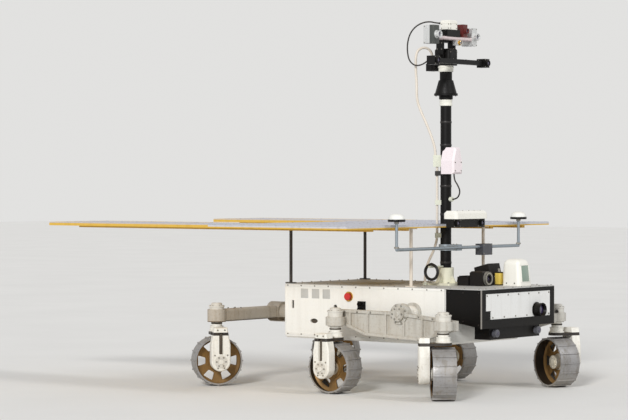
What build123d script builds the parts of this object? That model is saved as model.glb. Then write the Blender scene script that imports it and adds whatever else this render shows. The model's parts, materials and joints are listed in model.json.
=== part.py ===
from build123d import *
import os
from math import cos, radians, sin, tan

os.makedirs("parts", exist_ok=True)

# Six-wheeled planetary rover on three bogies, with a camera mast and a solar array.
# Millimetres, X forwards, Y to the left, Z up from the ground.
# The origin is on the ground under the middle of the whole rover.

# Running gear
mast_x = 787.5              # mast axis ahead of the origin
front_axle_ahead = 370      # steering axes, measured along X from the mast axis
middle_axle_behind = 345
rear_axle_behind = 1190
half_track = 545            # steering axis to the centre line
wheel_radius = 140          # to the tips of the lugs
wheel_width = 124
rim_wall = 5
rim_lip = 9
disc_wall = 6
disc_offset = 12            # disc outboard of the wheel's middle plane
window_count = 6            # windows in the disc
window_outer = 58
window_depth = 44
window_angle = 68
window_radius = 88          # their middle from the wheel's axis
lug_height = 5
lug_thickness = 9
lug_count = 16
hub_radius = 38
hub_sides = 12              # flats round the hub and its flange
hub_inboard = 26            # hub ends, measured from the wheel's middle plane
hub_outboard = 30
hub_cap_depth = 12
hub_flange_radius = 56
hub_flange_height = 5
axle_radius = 15
running_clearance = 0.05    # radial clearance of a shaft in its bore
join_overlap = 1            # how far a disc runs into the rim
end_clearance = 2           # between a shaft's end and its blind bore
face_clearance = 0.4        # between faces that turn on each other
soft_gap = 0.3              # between a hanging coil and its peg

# Leg and steering unit at each wheel
leg_gap = 12                # wheel's outer edge to the leg
leg_thickness = 56
leg_width = 108             # at the wheel's axis
leg_top_width = 72
leg_shoulder = 92           # where it starts to taper, over the wheel's axis
leg_rise = 190              # its top over the wheel's axis
leg_edge = 6
leg_slot_length = 124
leg_slot_width = 24
leg_slot_depth = 9
leg_slot_rise = 100         # middle of the slot over the wheel's axis
axle_cap_radius = 13
axle_cap_height = 5
drive_radius = 33
drive_gap = 6               # drive unit to the hub's end
yoke_gap = 8                # wheel top to the yoke plate
yoke_thickness = 14
yoke_width = 92
swivel_radius = 37
swivel_height = 32
neck_radius = 29
neck_height = 28
steer_shaft_radius = 18
steer_shaft_length = 60
housing_radius = 41
housing_height = 86
housing_cap_radius = 31
housing_cap_height = 12
housing_rib_height = 7

# Body
body_length = 1098
body_front_ahead = 248      # front edge of the white body, from the mast axis
body_width = 716
body_bottom = 274
body_top = 577
body_corner = 14
body_keel = 10              # chamfer along its lower edges
deck_thickness = 4
payload_bolt_radius = 3.3   # four holes in the deck behind the mast
payload_bolt_spacing = 300
payload_behind_mast = 420
side_slot_behind = 790      # openings in the right side, from the mast axis
side_slot_drop = 112        # and under the deck
side_slot_width = 16
side_slot_height = 44
side_hole_behind = 490
side_hole_drop = 118
side_hole_radius = 13
side_vent_behind = 640
side_vent_drop = 200
side_vent_width = 52
side_vent_height = 26
recess_depth = 12
connector_behind = 306      # connector block on the right side
connector_drop = 112
connector_width = 52
connector_height = 62
connector_thickness = 16
button_behind = 395         # round stop button
button_drop = 58
button_radius = 21
button_collar = 6
button_height = 22
rear_panel_width = 520      # access panel in the body's rear face
rear_panel_height = 84
rear_panel_thickness = 3
rear_panel_drop = 58        # its middle under the deck

# Front avionics box
nose_length = 232
nose_rear_depth = 166       # height of its side at the back
nose_front_depth = 204      # and at the front
nose_recess = 10            # step in from the white body's sides
nose_corner = 8
bay_width = 480
bay_length = 96
bay_depth = 64
bay_setback = 26
panel_width = 620
panel_height = 136
panel_thickness = 5
panel_pocket = 8            # depth of the pocket that the panel sits in
panel_drop = 22             # top of the panel under the top of the box
panel_notch_width = 52
panel_notch_height = 46
panel_gap = 2               # round the panel in its pocket
trim_width = 8              # pale strips at the front corners
trim_thickness = 2
hazard_camera_side = 200    # small cameras in the bay's face
hazard_camera_drop = 30     # under the top of the bay
hazard_camera_radius = 21
hazard_camera_length = 24
hazard_lens_radius = 11
hazard_lens_length = 6
lamp_radius = 36            # round lamp in front of the panel
lamp_side = 175
lamp_drop = 122
lamp_length = 44
lamp_bezel = 6

# Suspension
beam_side = 470             # side bogie's beam to the centre line
beam_thickness = 44
beam_overhang = 30          # beyond the steering axes
beam_rear_top = 452
beam_rear_bottom = 385
beam_middle_top = 449
beam_front_top = 414
beam_front_bottom = 362
belly_rear = 318            # deep middle part of the beam
belly_front = 302
belly_rear_run = 190
belly_front_run = 215
beam_rim = 15
beam_pocket = 10
beam_rib = 12
beam_rib_spacing = 120
arm_height = 46             # arm from a beam's end to the steering housing
arm_width = 60
arm_middle = 391
collar_radius = 52
bogie_pivot_ahead = 40      # from the mast axis
bogie_pivot_height = 440
bogie_pivot_radius = 40
bogie_flange_radius = 56
bogie_flange_thickness = 10
bogie_pivot_cap = 12
rear_beam_depth = 70
rear_beam_width = 78
rear_beam_height = 392
rear_pivot_radius = 44
rear_boss_radius = 58
rear_boss_length = 90
rear_flange_radius = 76
rear_flange_thickness = 14

# Mast
mast_radius = 30
mast_top = 1596
mast_foot_width = 150
mast_foot_thickness = 12
mast_socket_radius = 44
mast_socket_height = 84
gusset_thickness = 10
gusset_reach = 26
gusset_height = 62
ring_radius = 38
ring_height = 20
flange_radius = 65
flange_thickness = 12
bell_radius = 60            # wide lower part of the head's base
bell_height = 72
bell_top_radius = 40
neck_step_height = 46
neck_step_radius = 34
mast_box_width = 92         # receiver box strapped to the front of the mast
mast_box_height = 146
mast_box_depth = 52
mast_box_top_width = 48
mast_box_bottom = 1186
mast_box_corner = 10

# Cables on the mast, with their clips
bundle_radius = 7
lead_radius = 4
bundle_angle = 217          # direction of the bundle from the mast, about +Z
bundle_offset = 48          # where it is clipped, from the mast's axis
bundle_upper_offset = 58    # where it leaves the junction
bundle_foot_offset = 114    # where it leaves the deck
cable_clip_height = 26
cable_clip_width = 30
cable_clip_wall = 5
cable_clip_levels = (850, 1030, 1190)
junction_bottom = 1226
junction_height = 64
junction_reach = 70
bundle_split = 1620         # above this height the bundle turns with the pan unit
receiver_gland_level = 1048
coil_radius = 42            # cable coil hung beside the mast
coil_cord_radius = 9
coil_side = 135
peg_radius = 5
peg_level = 680
peg_tip = 14                # how far the peg reaches past the coil

# Pan and tilt head
pan_ring_radius = 41
pan_ring_height = 34
pan_box_width = 84
pan_box_length = 104
pan_box_height = 92
pan_box_corner = 14
pan_rear_length = 60        # gearbox at the back of the pan box
pan_rear_width = 64
pan_rear_height = 41
pan_rear_rise = 6           # its underside over the fixed base
bundle_gland_side = 8       # gland on its top, right of the middle
bundle_gland_inset = 28     # and ahead of its rear face
tilt_shaft_radius = 15
tilt_axis_rise = 48         # tilt axis over the bottom of the pan box
fork_thickness = 12
fork_width = 46
fork_gap = 6
bench_width = 312
bench_depth = 70
bench_thickness = 18
bench_rise = 90             # bench's underside over the tilt axis
bench_ahead = 30
bench_edge = 5
camera_width = 48           # wide cameras at the bench's ends
camera_height = 100
camera_length = 70
camera_rise = 15            # their middle over the bench's middle
camera_edge = 5
lens_radius = 19
lens_length = 26
lens_lip = 3
red_camera_width = 40       # dark red camera on the bench
red_camera_height = 72
red_camera_length = 60
red_camera_side = 100
red_lens_radius = 14
red_lens_length = 16
computer_width = 120        # black box on the bench
computer_depth = 66
computer_height = 38
computer_side = -15
electronics_width = 70      # white box on top of it
electronics_depth = 62
electronics_height = 52
small_camera_width = 40     # small camera under the bench, with a gold lens ring
small_camera_height = 28
small_camera_length = 32
small_camera_side = 30
small_camera_ahead = 54
small_lens_radius = 12
small_lens_length = 12
fork_connector_width = 24   # connector block on the fork's right arm
fork_connector_length = 28

# Navigation camera bar on the pan box
nav_width = 520
nav_ahead = 84
nav_depth = 28
nav_height = 26
nav_camera_width = 46
nav_camera_height = 48
nav_camera_depth = 54
nav_lens_radius = 15
nav_lens_length = 12
nav_drop = 6

# Solar array
array_length = 2150
array_width = 1914
array_front_ahead = 52
array_solid_length = 950    # front part that runs the whole width
wing_width = 479
array_thickness = 18
skin_thickness = 3          # grey top sheet, part of that thickness
skin_gap = 4                # joint between two sheets
array_bottom = 895
mast_notch_gap = 22
stringer_width = 30         # stiffeners under the board
stringer_height = 14
stringer_clearance = 20     # inner stiffeners beside the posts' heads
stringer_inset = 20         # their ends to the board's edges
post_radius = 9
rear_post_inset = 33
post_inset = 16             # post to the body's side
front_post_ahead = 14
post_foot = 62
post_foot_thickness = 6
post_head = 46

# Cross bar and antennas
cross_bar_ahead = 92
cross_bar_height = 784
cross_bar_radius = 9
antenna_side = 579
antenna_post_radius = 8
antenna_post_top = 932
antenna_radius = 47
antenna_base = 14
antenna_dome = 30
antenna_rim = 4
clamp_width = 46
clamp_height = 34
clamp_collar = 9
bar_box_side = 235          # small box on the left half of the bar
bar_box_drop = 14           # its middle under the bar
bar_box_width = 92
bar_box_height = 62
bar_box_depth = 50

# Localisation camera in front of the mast
loc_width = 300
loc_ahead = 132
loc_bottom = 896
loc_height = 46
loc_depth = 48
loc_lens_radius = 15
loc_lens_length = 12
loc_lens_inset = 34
loc_cover_overhang = 22
loc_cover_height = 44
loc_cover_corner = 18
loc_cover_edge = 14
loc_arm_width = 40

# Pieces on the deck
dome_unit_length = 120
dome_unit_width = 128
dome_unit_height = 146
dome_unit_ahead = 336
dome_unit_inset = 160       # its middle to the body's side
dome_unit_corner = 26
dome_window_width = 58
dome_window_height = 84
dome_window_depth = 6
scanner_ahead = 212         # grey camera unit facing forwards
scanner_side = 30
scanner_length = 84
scanner_width = 92
scanner_height = 80
scanner_bezel_radius = 36
scanner_bezel_length = 14
scanner_lens_radius = 17
tilted_box_ahead = 188      # black box on a sloping bracket
tilted_box_side = 142
tilted_box_length = 92
tilted_box_width = 112
tilted_box_front = 62       # height of its underside over the deck, front and back
tilted_box_rear = 38
tilted_box_height = 58
tilted_box_leg = 14
low_box_ahead = 128
low_box_side = 26
low_box_length = 74
low_box_width = 92
low_box_height = 48
yellow_unit_ahead = 256
yellow_unit_side = 142
yellow_unit_size = 32
yellow_unit_height = 74
gland_radius = 13
gland_height = 16

# Places worked out from the sizes above
front_axle_x = mast_x + front_axle_ahead
middle_axle_x = mast_x - middle_axle_behind
rear_axle_x = mast_x - rear_axle_behind
body_front_x = mast_x + body_front_ahead
body_rear_x = body_front_x - body_length
half_body = body_width / 2
post_side = half_body - post_inset
dome_unit_side = half_body - dome_unit_inset
nose_front_x = body_front_x + nose_length
leg_inner = wheel_width / 2 + leg_gap
leg_outer = leg_inner + leg_thickness
yoke_bottom = 2 * wheel_radius + yoke_gap
yoke_top = yoke_bottom + yoke_thickness
swivel_top = yoke_top + swivel_height
neck_top = swivel_top + neck_height
housing_bottom = neck_top + face_clearance
housing_top = housing_bottom + housing_height

# Name, steering axis along X, side (+1 is left), steering angle at rest about +Z
wheels = [
    ("front_right", front_axle_x, -1, -50),
    ("front_left", front_axle_x, 1, -22),
    ("middle_right", middle_axle_x, -1, 0),
    ("middle_left", middle_axle_x, 1, 0),
    ("rear_right", rear_axle_x, -1, 52),
    ("rear_left", rear_axle_x, 1, 24),
]


def heading(angle):
    """Level direction at this angle about +Z, along which a wheel steered by it rolls."""
    return Vector(cos(radians(angle)), sin(radians(angle)), 0)


def outboard(angle, side):
    """Direction of a steered wheel's axle, pointing away from the rover."""
    return Vector(-sin(radians(angle)), cos(radians(angle)), 0) * side


# Wheels: a lugged rim with lips, a disc with windows and a hub with a blind bore
rim_radius = wheel_radius - lug_height
rim_inside = rim_radius - rim_wall
bore_radius = axle_radius + running_clearance
bore_end = hub_cap_depth - hub_inboard
disc_face = disc_offset + disc_wall
for name, axle_x, side, angle in wheels:
    centre = Vector(axle_x, side * half_track, wheel_radius)
    face = Plane(origin=centre, x_dir=(0, 0, 1), z_dir=outboard(angle, side))
    with BuildPart() as wheel:
        with BuildSketch(face.offset(-wheel_width / 2)):
            RegularPolygon(rim_radius, lug_count)
            with PolarLocations(rim_radius, lug_count):
                Rectangle(2 * lug_height, lug_thickness)
            RegularPolygon(rim_inside, lug_count, mode=Mode.SUBTRACT)
        extrude(amount=wheel_width)
        with BuildSketch(face.offset(-wheel_width / 2), face.offset(wheel_width / 2 - rim_wall)):
            RegularPolygon(rim_inside + join_overlap, lug_count)
            RegularPolygon(rim_radius - rim_lip, lug_count, mode=Mode.SUBTRACT)
        extrude(amount=rim_wall)
        with BuildSketch(face.offset(disc_offset)):
            RegularPolygon(rim_inside + join_overlap, lug_count)
            with PolarLocations(window_radius, window_count):
                Trapezoid(window_outer, window_depth, window_angle, rotation=90, mode=Mode.SUBTRACT)
        extrude(amount=disc_wall)
        with BuildSketch(face.offset(-hub_inboard)):
            RegularPolygon(hub_radius, hub_sides)
        extrude(amount=hub_inboard + hub_outboard)
        with BuildSketch(face.offset(disc_face)):
            RegularPolygon(hub_flange_radius, hub_sides)
        extrude(amount=hub_flange_height)
        with BuildSketch(face.offset(bore_end)):
            Circle(bore_radius)
        extrude(amount=hub_outboard - bore_end, mode=Mode.SUBTRACT)
    wheel.part.label = "wheel_" + name
    export_step(wheel.part, "parts/wheel_" + name + ".step")

# Legs: a tapered plate outboard of the wheel, the yoke over it, the swivel and the drive unit
drive_inner = hub_outboard + drive_gap
axle_end = bore_end + end_clearance
for name, axle_x, side, angle in wheels:
    centre = Vector(axle_x, side * half_track, wheel_radius)
    ahead = heading(angle)
    out = outboard(angle, side)
    level = Plane(origin=(axle_x, side * half_track, 0), x_dir=ahead, z_dir=(0, 0, 1))
    upright = Plane(origin=centre, x_dir=(0, 0, 1), z_dir=out)
    with BuildPart() as leg:
        with BuildSketch(upright.offset(leg_inner)):
            Circle(leg_width / 2)
            with BuildLine():
                Polyline(
                    (0, -leg_width / 2),
                    (leg_shoulder, -leg_width / 2),
                    (leg_rise, -leg_top_width / 2),
                    (leg_rise, leg_top_width / 2),
                    (leg_shoulder, leg_width / 2),
                    (0, leg_width / 2),
                    close=True,
                )
            make_face()
        extrude(amount=leg_thickness)
        chamfer(leg.faces().sort_by(Axis(centre, out))[-1].edges(), leg_edge)
        with BuildSketch(upright.offset(leg_outer)):
            with Locations((leg_slot_rise, 0)):
                SlotOverall(leg_slot_length, leg_slot_width)
        extrude(amount=-leg_slot_depth, mode=Mode.SUBTRACT)
        with BuildSketch(upright.offset(leg_outer)):
            Circle(axle_cap_radius)
        extrude(amount=axle_cap_height)
        with BuildSketch(level.offset(yoke_bottom)):
            Circle(yoke_width / 2)
            with Locations((0, side * leg_inner / 2)):
                Rectangle(yoke_width, leg_inner + join_overlap)
        extrude(amount=yoke_thickness)
        with BuildSketch(level.offset(yoke_top)):
            Circle(swivel_radius)
        extrude(amount=swivel_height)
        with BuildSketch(level.offset(swivel_top)):
            Circle(neck_radius)
        extrude(amount=neck_height)
        with BuildSketch(level.offset(neck_top)):
            Circle(steer_shaft_radius)
        extrude(amount=steer_shaft_length)
        with BuildSketch(upright.offset(drive_inner)):
            Circle(drive_radius)
        extrude(amount=leg_inner - drive_inner)
        with BuildSketch(upright.offset(axle_end)):
            Circle(axle_radius)
        extrude(amount=leg_inner - axle_end)
    leg.part.label = "leg_" + name
    export_step(leg.part, "parts/leg_" + name + ".step")

# Steering housings, held by the bogies' collars, with the bores in which the legs turn
with BuildPart() as steering_housings:
    for name, axle_x, side, angle in wheels:
        foot = Plane(origin=(axle_x, side * half_track, 0))
        with BuildSketch(foot.offset(housing_bottom)):
            Circle(housing_radius)
        extrude(amount=housing_height)
        with BuildSketch(foot.offset(housing_top)):
            Circle(housing_cap_radius)
        extrude(amount=housing_cap_height)
        with BuildSketch(foot.offset(housing_top - housing_rib_height)):
            Circle(housing_radius + housing_rib_height / 2)
        extrude(amount=housing_rib_height)
        with BuildSketch(foot.offset(housing_bottom)):
            Circle(steer_shaft_radius + running_clearance)
        extrude(amount=steer_shaft_length + end_clearance, mode=Mode.SUBTRACT)
steering_housings.part.label = "steering_housings"
export_step(steering_housings.part, "parts/steering_housings.step")

# Side bogies: a deep ribbed beam, arms with collars at its ends and its pivot on the body
beam_rear_x = middle_axle_x - beam_overhang
beam_front_x = front_axle_x + beam_overhang
beam_middle_x = (middle_axle_x + front_axle_x) / 2
pivot_x = mast_x + bogie_pivot_ahead
pivot_boss_radius = bogie_pivot_radius + beam_rim
arm_run = half_track - beam_side
beam_outline = [
    (beam_rear_x, beam_rear_bottom),
    (beam_rear_x, beam_rear_top),
    (beam_middle_x, beam_middle_top),
    (beam_front_x, beam_front_top),
    (beam_front_x, beam_front_bottom),
    (beam_front_x - belly_front_run, belly_front),
    (beam_rear_x + belly_rear_run, belly_rear),
]
for name, side in (("right", -1), ("left", 1)):
    beam = Plane(origin=(0, side * beam_side, 0), x_dir=(1, 0, 0), z_dir=(0, -1, 0))
    pivot = Plane(origin=(pivot_x, side * half_body, bogie_pivot_height), z_dir=(0, side, 0))
    arm = Plane(origin=(0, 0, arm_middle - arm_height / 2))
    with BuildPart() as bogie:
        with BuildSketch(beam):
            with BuildLine():
                Polyline(*beam_outline, close=True)
            make_face()
            with Locations((pivot_x, bogie_pivot_height)):
                Circle(pivot_boss_radius)
        extrude(amount=beam_thickness / 2, both=True)
        for face_side in (-1, 1):
            with BuildSketch(beam.offset(face_side * beam_thickness / 2)):
                with BuildLine():
                    Polyline(*beam_outline, close=True)
                make_face()
                offset(amount=-beam_rim, mode=Mode.REPLACE)
                with Locations((pivot_x, bogie_pivot_height)):
                    Circle(pivot_boss_radius, mode=Mode.SUBTRACT)
                with Locations((beam_middle_x, 0)):
                    with GridLocations(beam_rib_spacing, 1, 6, 1):
                        Rectangle(beam_rib, 2 * beam_rear_top, mode=Mode.SUBTRACT)
            extrude(amount=-face_side * beam_pocket, mode=Mode.SUBTRACT)
        with BuildSketch(pivot):
            Circle(bogie_flange_radius)
        extrude(amount=bogie_flange_thickness)
        with BuildSketch(pivot):
            Circle(bogie_pivot_radius)
        extrude(amount=beam_side + beam_thickness / 2 + bogie_pivot_cap - half_body)
        with BuildSketch(arm):
            for axle_x in (middle_axle_x, front_axle_x):
                with Locations((axle_x, side * half_track)):
                    Circle(collar_radius)
                with Locations((axle_x, side * (half_track - arm_run / 2))):
                    Rectangle(arm_width, arm_run)
                with Locations((axle_x, side * half_track)):
                    Circle(housing_radius, mode=Mode.SUBTRACT)
        extrude(amount=arm_height)
    bogie.part.label = "bogie_" + name
    export_step(bogie.part, "parts/bogie_" + name + ".step")

# Rear bogie: a cross beam with collars at its ends, and the pivot in the body's rear face
rear_beam = Plane(origin=(rear_axle_x, 0, rear_beam_height))
collar_level = Plane(origin=(rear_axle_x, 0, rear_beam_height - rear_beam_depth / 2))
rear_pivot_run = body_rear_x - rear_axle_x
with BuildPart() as bogie_rear:
    with BuildSketch(Plane(origin=rear_beam.origin, x_dir=(1, 0, 0), z_dir=(0, 1, 0))):
        RectangleRounded(rear_beam_width, rear_beam_depth, rear_beam_depth / 5)
    extrude(amount=half_track, both=True)
    with BuildSketch(collar_level):
        for side in (-1, 1):
            with Locations((0, side * half_track)):
                Circle(collar_radius)
    extrude(amount=rear_beam_depth)
    with BuildSketch(collar_level):
        for side in (-1, 1):
            with Locations((0, side * half_track)):
                Circle(housing_radius)
    extrude(amount=rear_beam_depth, mode=Mode.SUBTRACT)
    with BuildSketch(Plane(origin=rear_beam.origin, z_dir=(1, 0, 0))):
        Circle(rear_pivot_radius)
    extrude(amount=rear_pivot_run)
    with BuildSketch(Plane(origin=rear_beam.origin, z_dir=(1, 0, 0))):
        Circle(rear_boss_radius)
    extrude(amount=rear_boss_length / 2, both=True)
    with BuildSketch(Plane(origin=rear_beam.origin, z_dir=(1, 0, 0)).offset(rear_pivot_run)):
        Circle(rear_flange_radius)
    extrude(amount=-rear_flange_thickness)
bogie_rear.part.label = "bogie_rear"
export_step(bogie_rear.part, "parts/bogie_rear.step")

# White body, with the openings in its right side and the panel in its rear face
body_middle_x = (body_front_x + body_rear_x) / 2
shell_top = body_top - deck_thickness
right_side = Plane(origin=(mast_x, -half_body, shell_top), x_dir=(1, 0, 0), z_dir=(0, -1, 0))
with BuildPart() as body_shell:
    with BuildSketch(Plane.XY.offset(body_bottom)):
        with Locations((body_middle_x, 0)):
            RectangleRounded(body_length, body_width, body_corner)
    extrude(amount=shell_top - body_bottom)
    chamfer(body_shell.faces().sort_by(Axis.Z)[0].edges(), body_keel)
    with BuildSketch(right_side):
        with Locations((-side_slot_behind, -side_slot_drop)):
            Rectangle(side_slot_width, side_slot_height)
        with Locations((-side_hole_behind, -side_hole_drop)):
            Circle(side_hole_radius)
        with Locations((-side_vent_behind, -side_vent_drop)):
            Ellipse(side_vent_width / 2, side_vent_height / 2)
    extrude(amount=-recess_depth, mode=Mode.SUBTRACT)
    with BuildSketch(Plane(origin=(body_rear_x, 0, 0), x_dir=(0, -1, 0), z_dir=(-1, 0, 0))):
        with Locations((0, shell_top - rear_panel_drop)):
            RectangleRounded(rear_panel_width, rear_panel_height, nose_corner)
    extrude(amount=rear_panel_thickness)
body_shell.part.label = "body_shell"
export_step(body_shell.part, "parts/body_shell.step")

# Stop button and connector block on the right side
with BuildPart() as side_fittings:
    with BuildSketch(right_side):
        with Locations((-button_behind, -button_drop)):
            Circle(button_radius + button_collar)
    extrude(amount=button_collar)
    with BuildSketch(right_side):
        with Locations((-button_behind, -button_drop)):
            Circle(button_radius)
    extrude(amount=button_height)
    with BuildSketch(right_side):
        with Locations((-connector_behind, -connector_drop)):
            RectangleRounded(connector_width, connector_height, nose_corner)
    extrude(amount=connector_thickness)
side_fittings.part.label = "side_fittings"
export_step(side_fittings.part, "parts/side_fittings.step")

deck_length = body_length + nose_length
deck_middle_x = (nose_front_x + body_rear_x) / 2
with BuildPart() as deck_plate:
    with BuildSketch(Plane.XY.offset(shell_top)):
        with Locations((deck_middle_x, 0)):
            RectangleRounded(deck_length, body_width, body_corner)
    extrude(amount=deck_thickness)
    with BuildSketch(Plane(origin=(mast_x - payload_behind_mast, 0, shell_top))):
        with GridLocations(payload_bolt_spacing, payload_bolt_spacing, 2, 2):
            Circle(payload_bolt_radius)
    extrude(amount=deck_thickness, mode=Mode.SUBTRACT)
deck_plate.part.label = "deck_plate"
export_step(deck_plate.part, "parts/deck_plate.step")

# Front avionics box with a sloping underside and a pocket for its panel
half_nose = half_body - nose_recess
nose_face = Plane(origin=(nose_front_x, 0, shell_top), x_dir=(0, 1, 0), z_dir=(1, 0, 0))
panel_middle = -panel_drop - panel_height / 2
with BuildPart() as nose_box:
    with BuildSketch(Plane.XZ.offset(-half_nose)):
        with BuildLine():
            Polyline(
                (body_front_x, shell_top),
                (nose_front_x, shell_top),
                (nose_front_x, shell_top - nose_front_depth),
                (body_front_x, shell_top - nose_rear_depth),
                close=True,
            )
        make_face()
    extrude(amount=2 * half_nose)
    with BuildSketch(nose_face):
        with Locations((0, panel_middle)):
            Rectangle(panel_width + 2 * panel_gap, panel_height + 2 * panel_gap)
    extrude(amount=-panel_pocket, mode=Mode.SUBTRACT)
nose_box.part.label = "nose_box"
export_step(nose_box.part, "parts/nose_box.step")

with BuildPart() as nose_panel:
    with BuildSketch(nose_face.offset(-panel_pocket)):
        with Locations((0, panel_middle)):
            Rectangle(panel_width, panel_height)
        with Locations((-panel_width / 2, panel_middle - panel_height / 2)):
            Rectangle(2 * panel_notch_width, 2 * panel_notch_height, mode=Mode.SUBTRACT)
    extrude(amount=panel_thickness)
    for side in (-1, 1):
        with Locations(
            (
                nose_front_x - trim_width / 2,
                side * (half_nose + trim_thickness / 2),
                shell_top - nose_front_depth / 2,
            )
        ):
            Box(trim_width, trim_thickness, nose_front_depth)
nose_panel.part.label = "nose_panel"
export_step(nose_panel.part, "parts/nose_panel.step")

# Lower bay under the front box
bay_top = shell_top - nose_front_depth
nose_slope = (nose_rear_depth - nose_front_depth) / nose_length
bay_front_x = nose_front_x - bay_setback
bay_rear_x = bay_front_x - bay_length
with BuildPart() as nose_bay:
    with BuildSketch(Plane.XZ.offset(-bay_width / 2)):
        with BuildLine():
            Polyline(
                (bay_front_x, bay_top - bay_setback * nose_slope),
                (bay_front_x, bay_top - bay_depth),
                (bay_rear_x, bay_top - bay_depth),
                (bay_rear_x, bay_top - (bay_setback + bay_length) * nose_slope),
                close=True,
            )
        make_face()
    extrude(amount=bay_width)
nose_bay.part.label = "nose_bay"
export_step(nose_bay.part, "parts/nose_bay.step")

# Hazard cameras in the bay's face, and the round lamp in front of the panel
lamp_back = Plane(
    origin=(nose_front_x - panel_pocket + panel_thickness, lamp_side, shell_top - lamp_drop), z_dir=(1, 0, 0)
)
with BuildPart() as nose_cameras:
    for side in (-1, 1):
        front = Plane(
            origin=(bay_front_x, side * hazard_camera_side, bay_top - hazard_camera_drop), z_dir=(1, 0, 0)
        )
        with BuildSketch(front):
            Circle(hazard_camera_radius)
        extrude(amount=hazard_camera_length)
        with BuildSketch(front.offset(hazard_camera_length)):
            Circle(hazard_lens_radius)
        extrude(amount=hazard_lens_length)
    with BuildSketch(lamp_back):
        Circle(lamp_radius)
    extrude(amount=lamp_length)
    with BuildSketch(lamp_back.offset(lamp_length)):
        Circle(lamp_radius - lamp_bezel)
    extrude(amount=-lamp_length / 2, mode=Mode.SUBTRACT)
nose_cameras.part.label = "nose_cameras"
export_step(nose_cameras.part, "parts/nose_cameras.step")

# Mast: a socket with gussets on the deck, the tube, its top ring and the head's base
mast_plane = Plane(origin=(mast_x, 0, 0))
socket_bottom = body_top + mast_foot_thickness
with BuildPart() as mast_foot:
    with BuildSketch(mast_plane.offset(body_top)):
        RectangleRounded(mast_foot_width, mast_foot_width, nose_corner)
    extrude(amount=mast_foot_thickness)
    with BuildSketch(mast_plane.offset(socket_bottom)):
        Circle(mast_socket_radius)
    extrude(amount=mast_socket_height)
    for turn in range(0, 360, 90):
        radial = Plane(origin=(mast_x, 0, socket_bottom), x_dir=heading(turn), z_dir=heading(turn - 90))
        with BuildSketch(radial):
            with BuildLine():
                Polyline(
                    (mast_radius, 0),
                    (mast_socket_radius + gusset_reach, 0),
                    (mast_radius, gusset_height),
                    close=True,
                )
            make_face()
        extrude(amount=gusset_thickness / 2, both=True)
    with BuildSketch(mast_plane.offset(socket_bottom)):
        Circle(mast_radius)
    extrude(amount=mast_socket_height, mode=Mode.SUBTRACT)
mast_foot.part.label = "mast_foot"
export_step(mast_foot.part, "parts/mast_foot.step")

with BuildPart() as mast_tube:
    with BuildSketch(mast_plane.offset(socket_bottom)):
        Circle(mast_radius)
    extrude(amount=mast_top - socket_bottom)
mast_tube.part.label = "mast_tube"
export_step(mast_tube.part, "parts/mast_tube.step")

flange_bottom = mast_top + ring_height
bell_bottom = flange_bottom + flange_thickness
bell_top = bell_bottom + bell_height
neck_step_top = bell_top + neck_step_height
with BuildPart() as mast_head_base:
    with BuildSketch(Plane(origin=(mast_x, 0, 0), x_dir=(1, 0, 0), z_dir=(0, -1, 0))):
        with BuildLine():
            Polyline(
                (0, mast_top),
                (ring_radius, mast_top),
                (ring_radius, flange_bottom),
                (flange_radius, flange_bottom),
                (flange_radius, bell_bottom),
                (bell_radius, bell_bottom),
                (bell_top_radius, bell_top),
                (neck_step_radius, bell_top),
                (neck_step_radius, neck_step_top),
                (0, neck_step_top),
                close=True,
            )
        make_face()
    revolve(axis=Axis((mast_x, 0, 0), (0, 0, 1)))
mast_head_base.part.label = "mast_head_base"
export_step(mast_head_base.part, "parts/mast_head_base.step")

# Receiver box with a tapered top, strapped to the front of the mast
with BuildPart() as mast_box:
    with BuildSketch(Plane(origin=(mast_x, 0, mast_box_bottom), x_dir=(0, 1, 0), z_dir=(1, 0, 0))):
        with BuildLine():
            Polyline(
                (-mast_box_width / 2, 0),
                (mast_box_width / 2, 0),
                (mast_box_width / 2, mast_box_height / 2),
                (mast_box_top_width / 2, mast_box_height),
                (-mast_box_top_width / 2, mast_box_height),
                (-mast_box_width / 2, mast_box_height / 2),
                close=True,
            )
        make_face()
    extrude(amount=mast_radius + mast_box_depth)
    with BuildSketch(mast_plane.offset(mast_box_bottom)):
        Circle(mast_radius)
        with Locations((-mast_radius, 0)):
            Rectangle(2 * mast_radius, mast_box_width)
    extrude(amount=mast_box_height, mode=Mode.SUBTRACT)
    chamfer(mast_box.faces().sort_by(Axis.X)[-1].edges(), mast_box_corner)
mast_box.part.label = "mast_box"
export_step(mast_box.part, "parts/mast_box.step")

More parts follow.
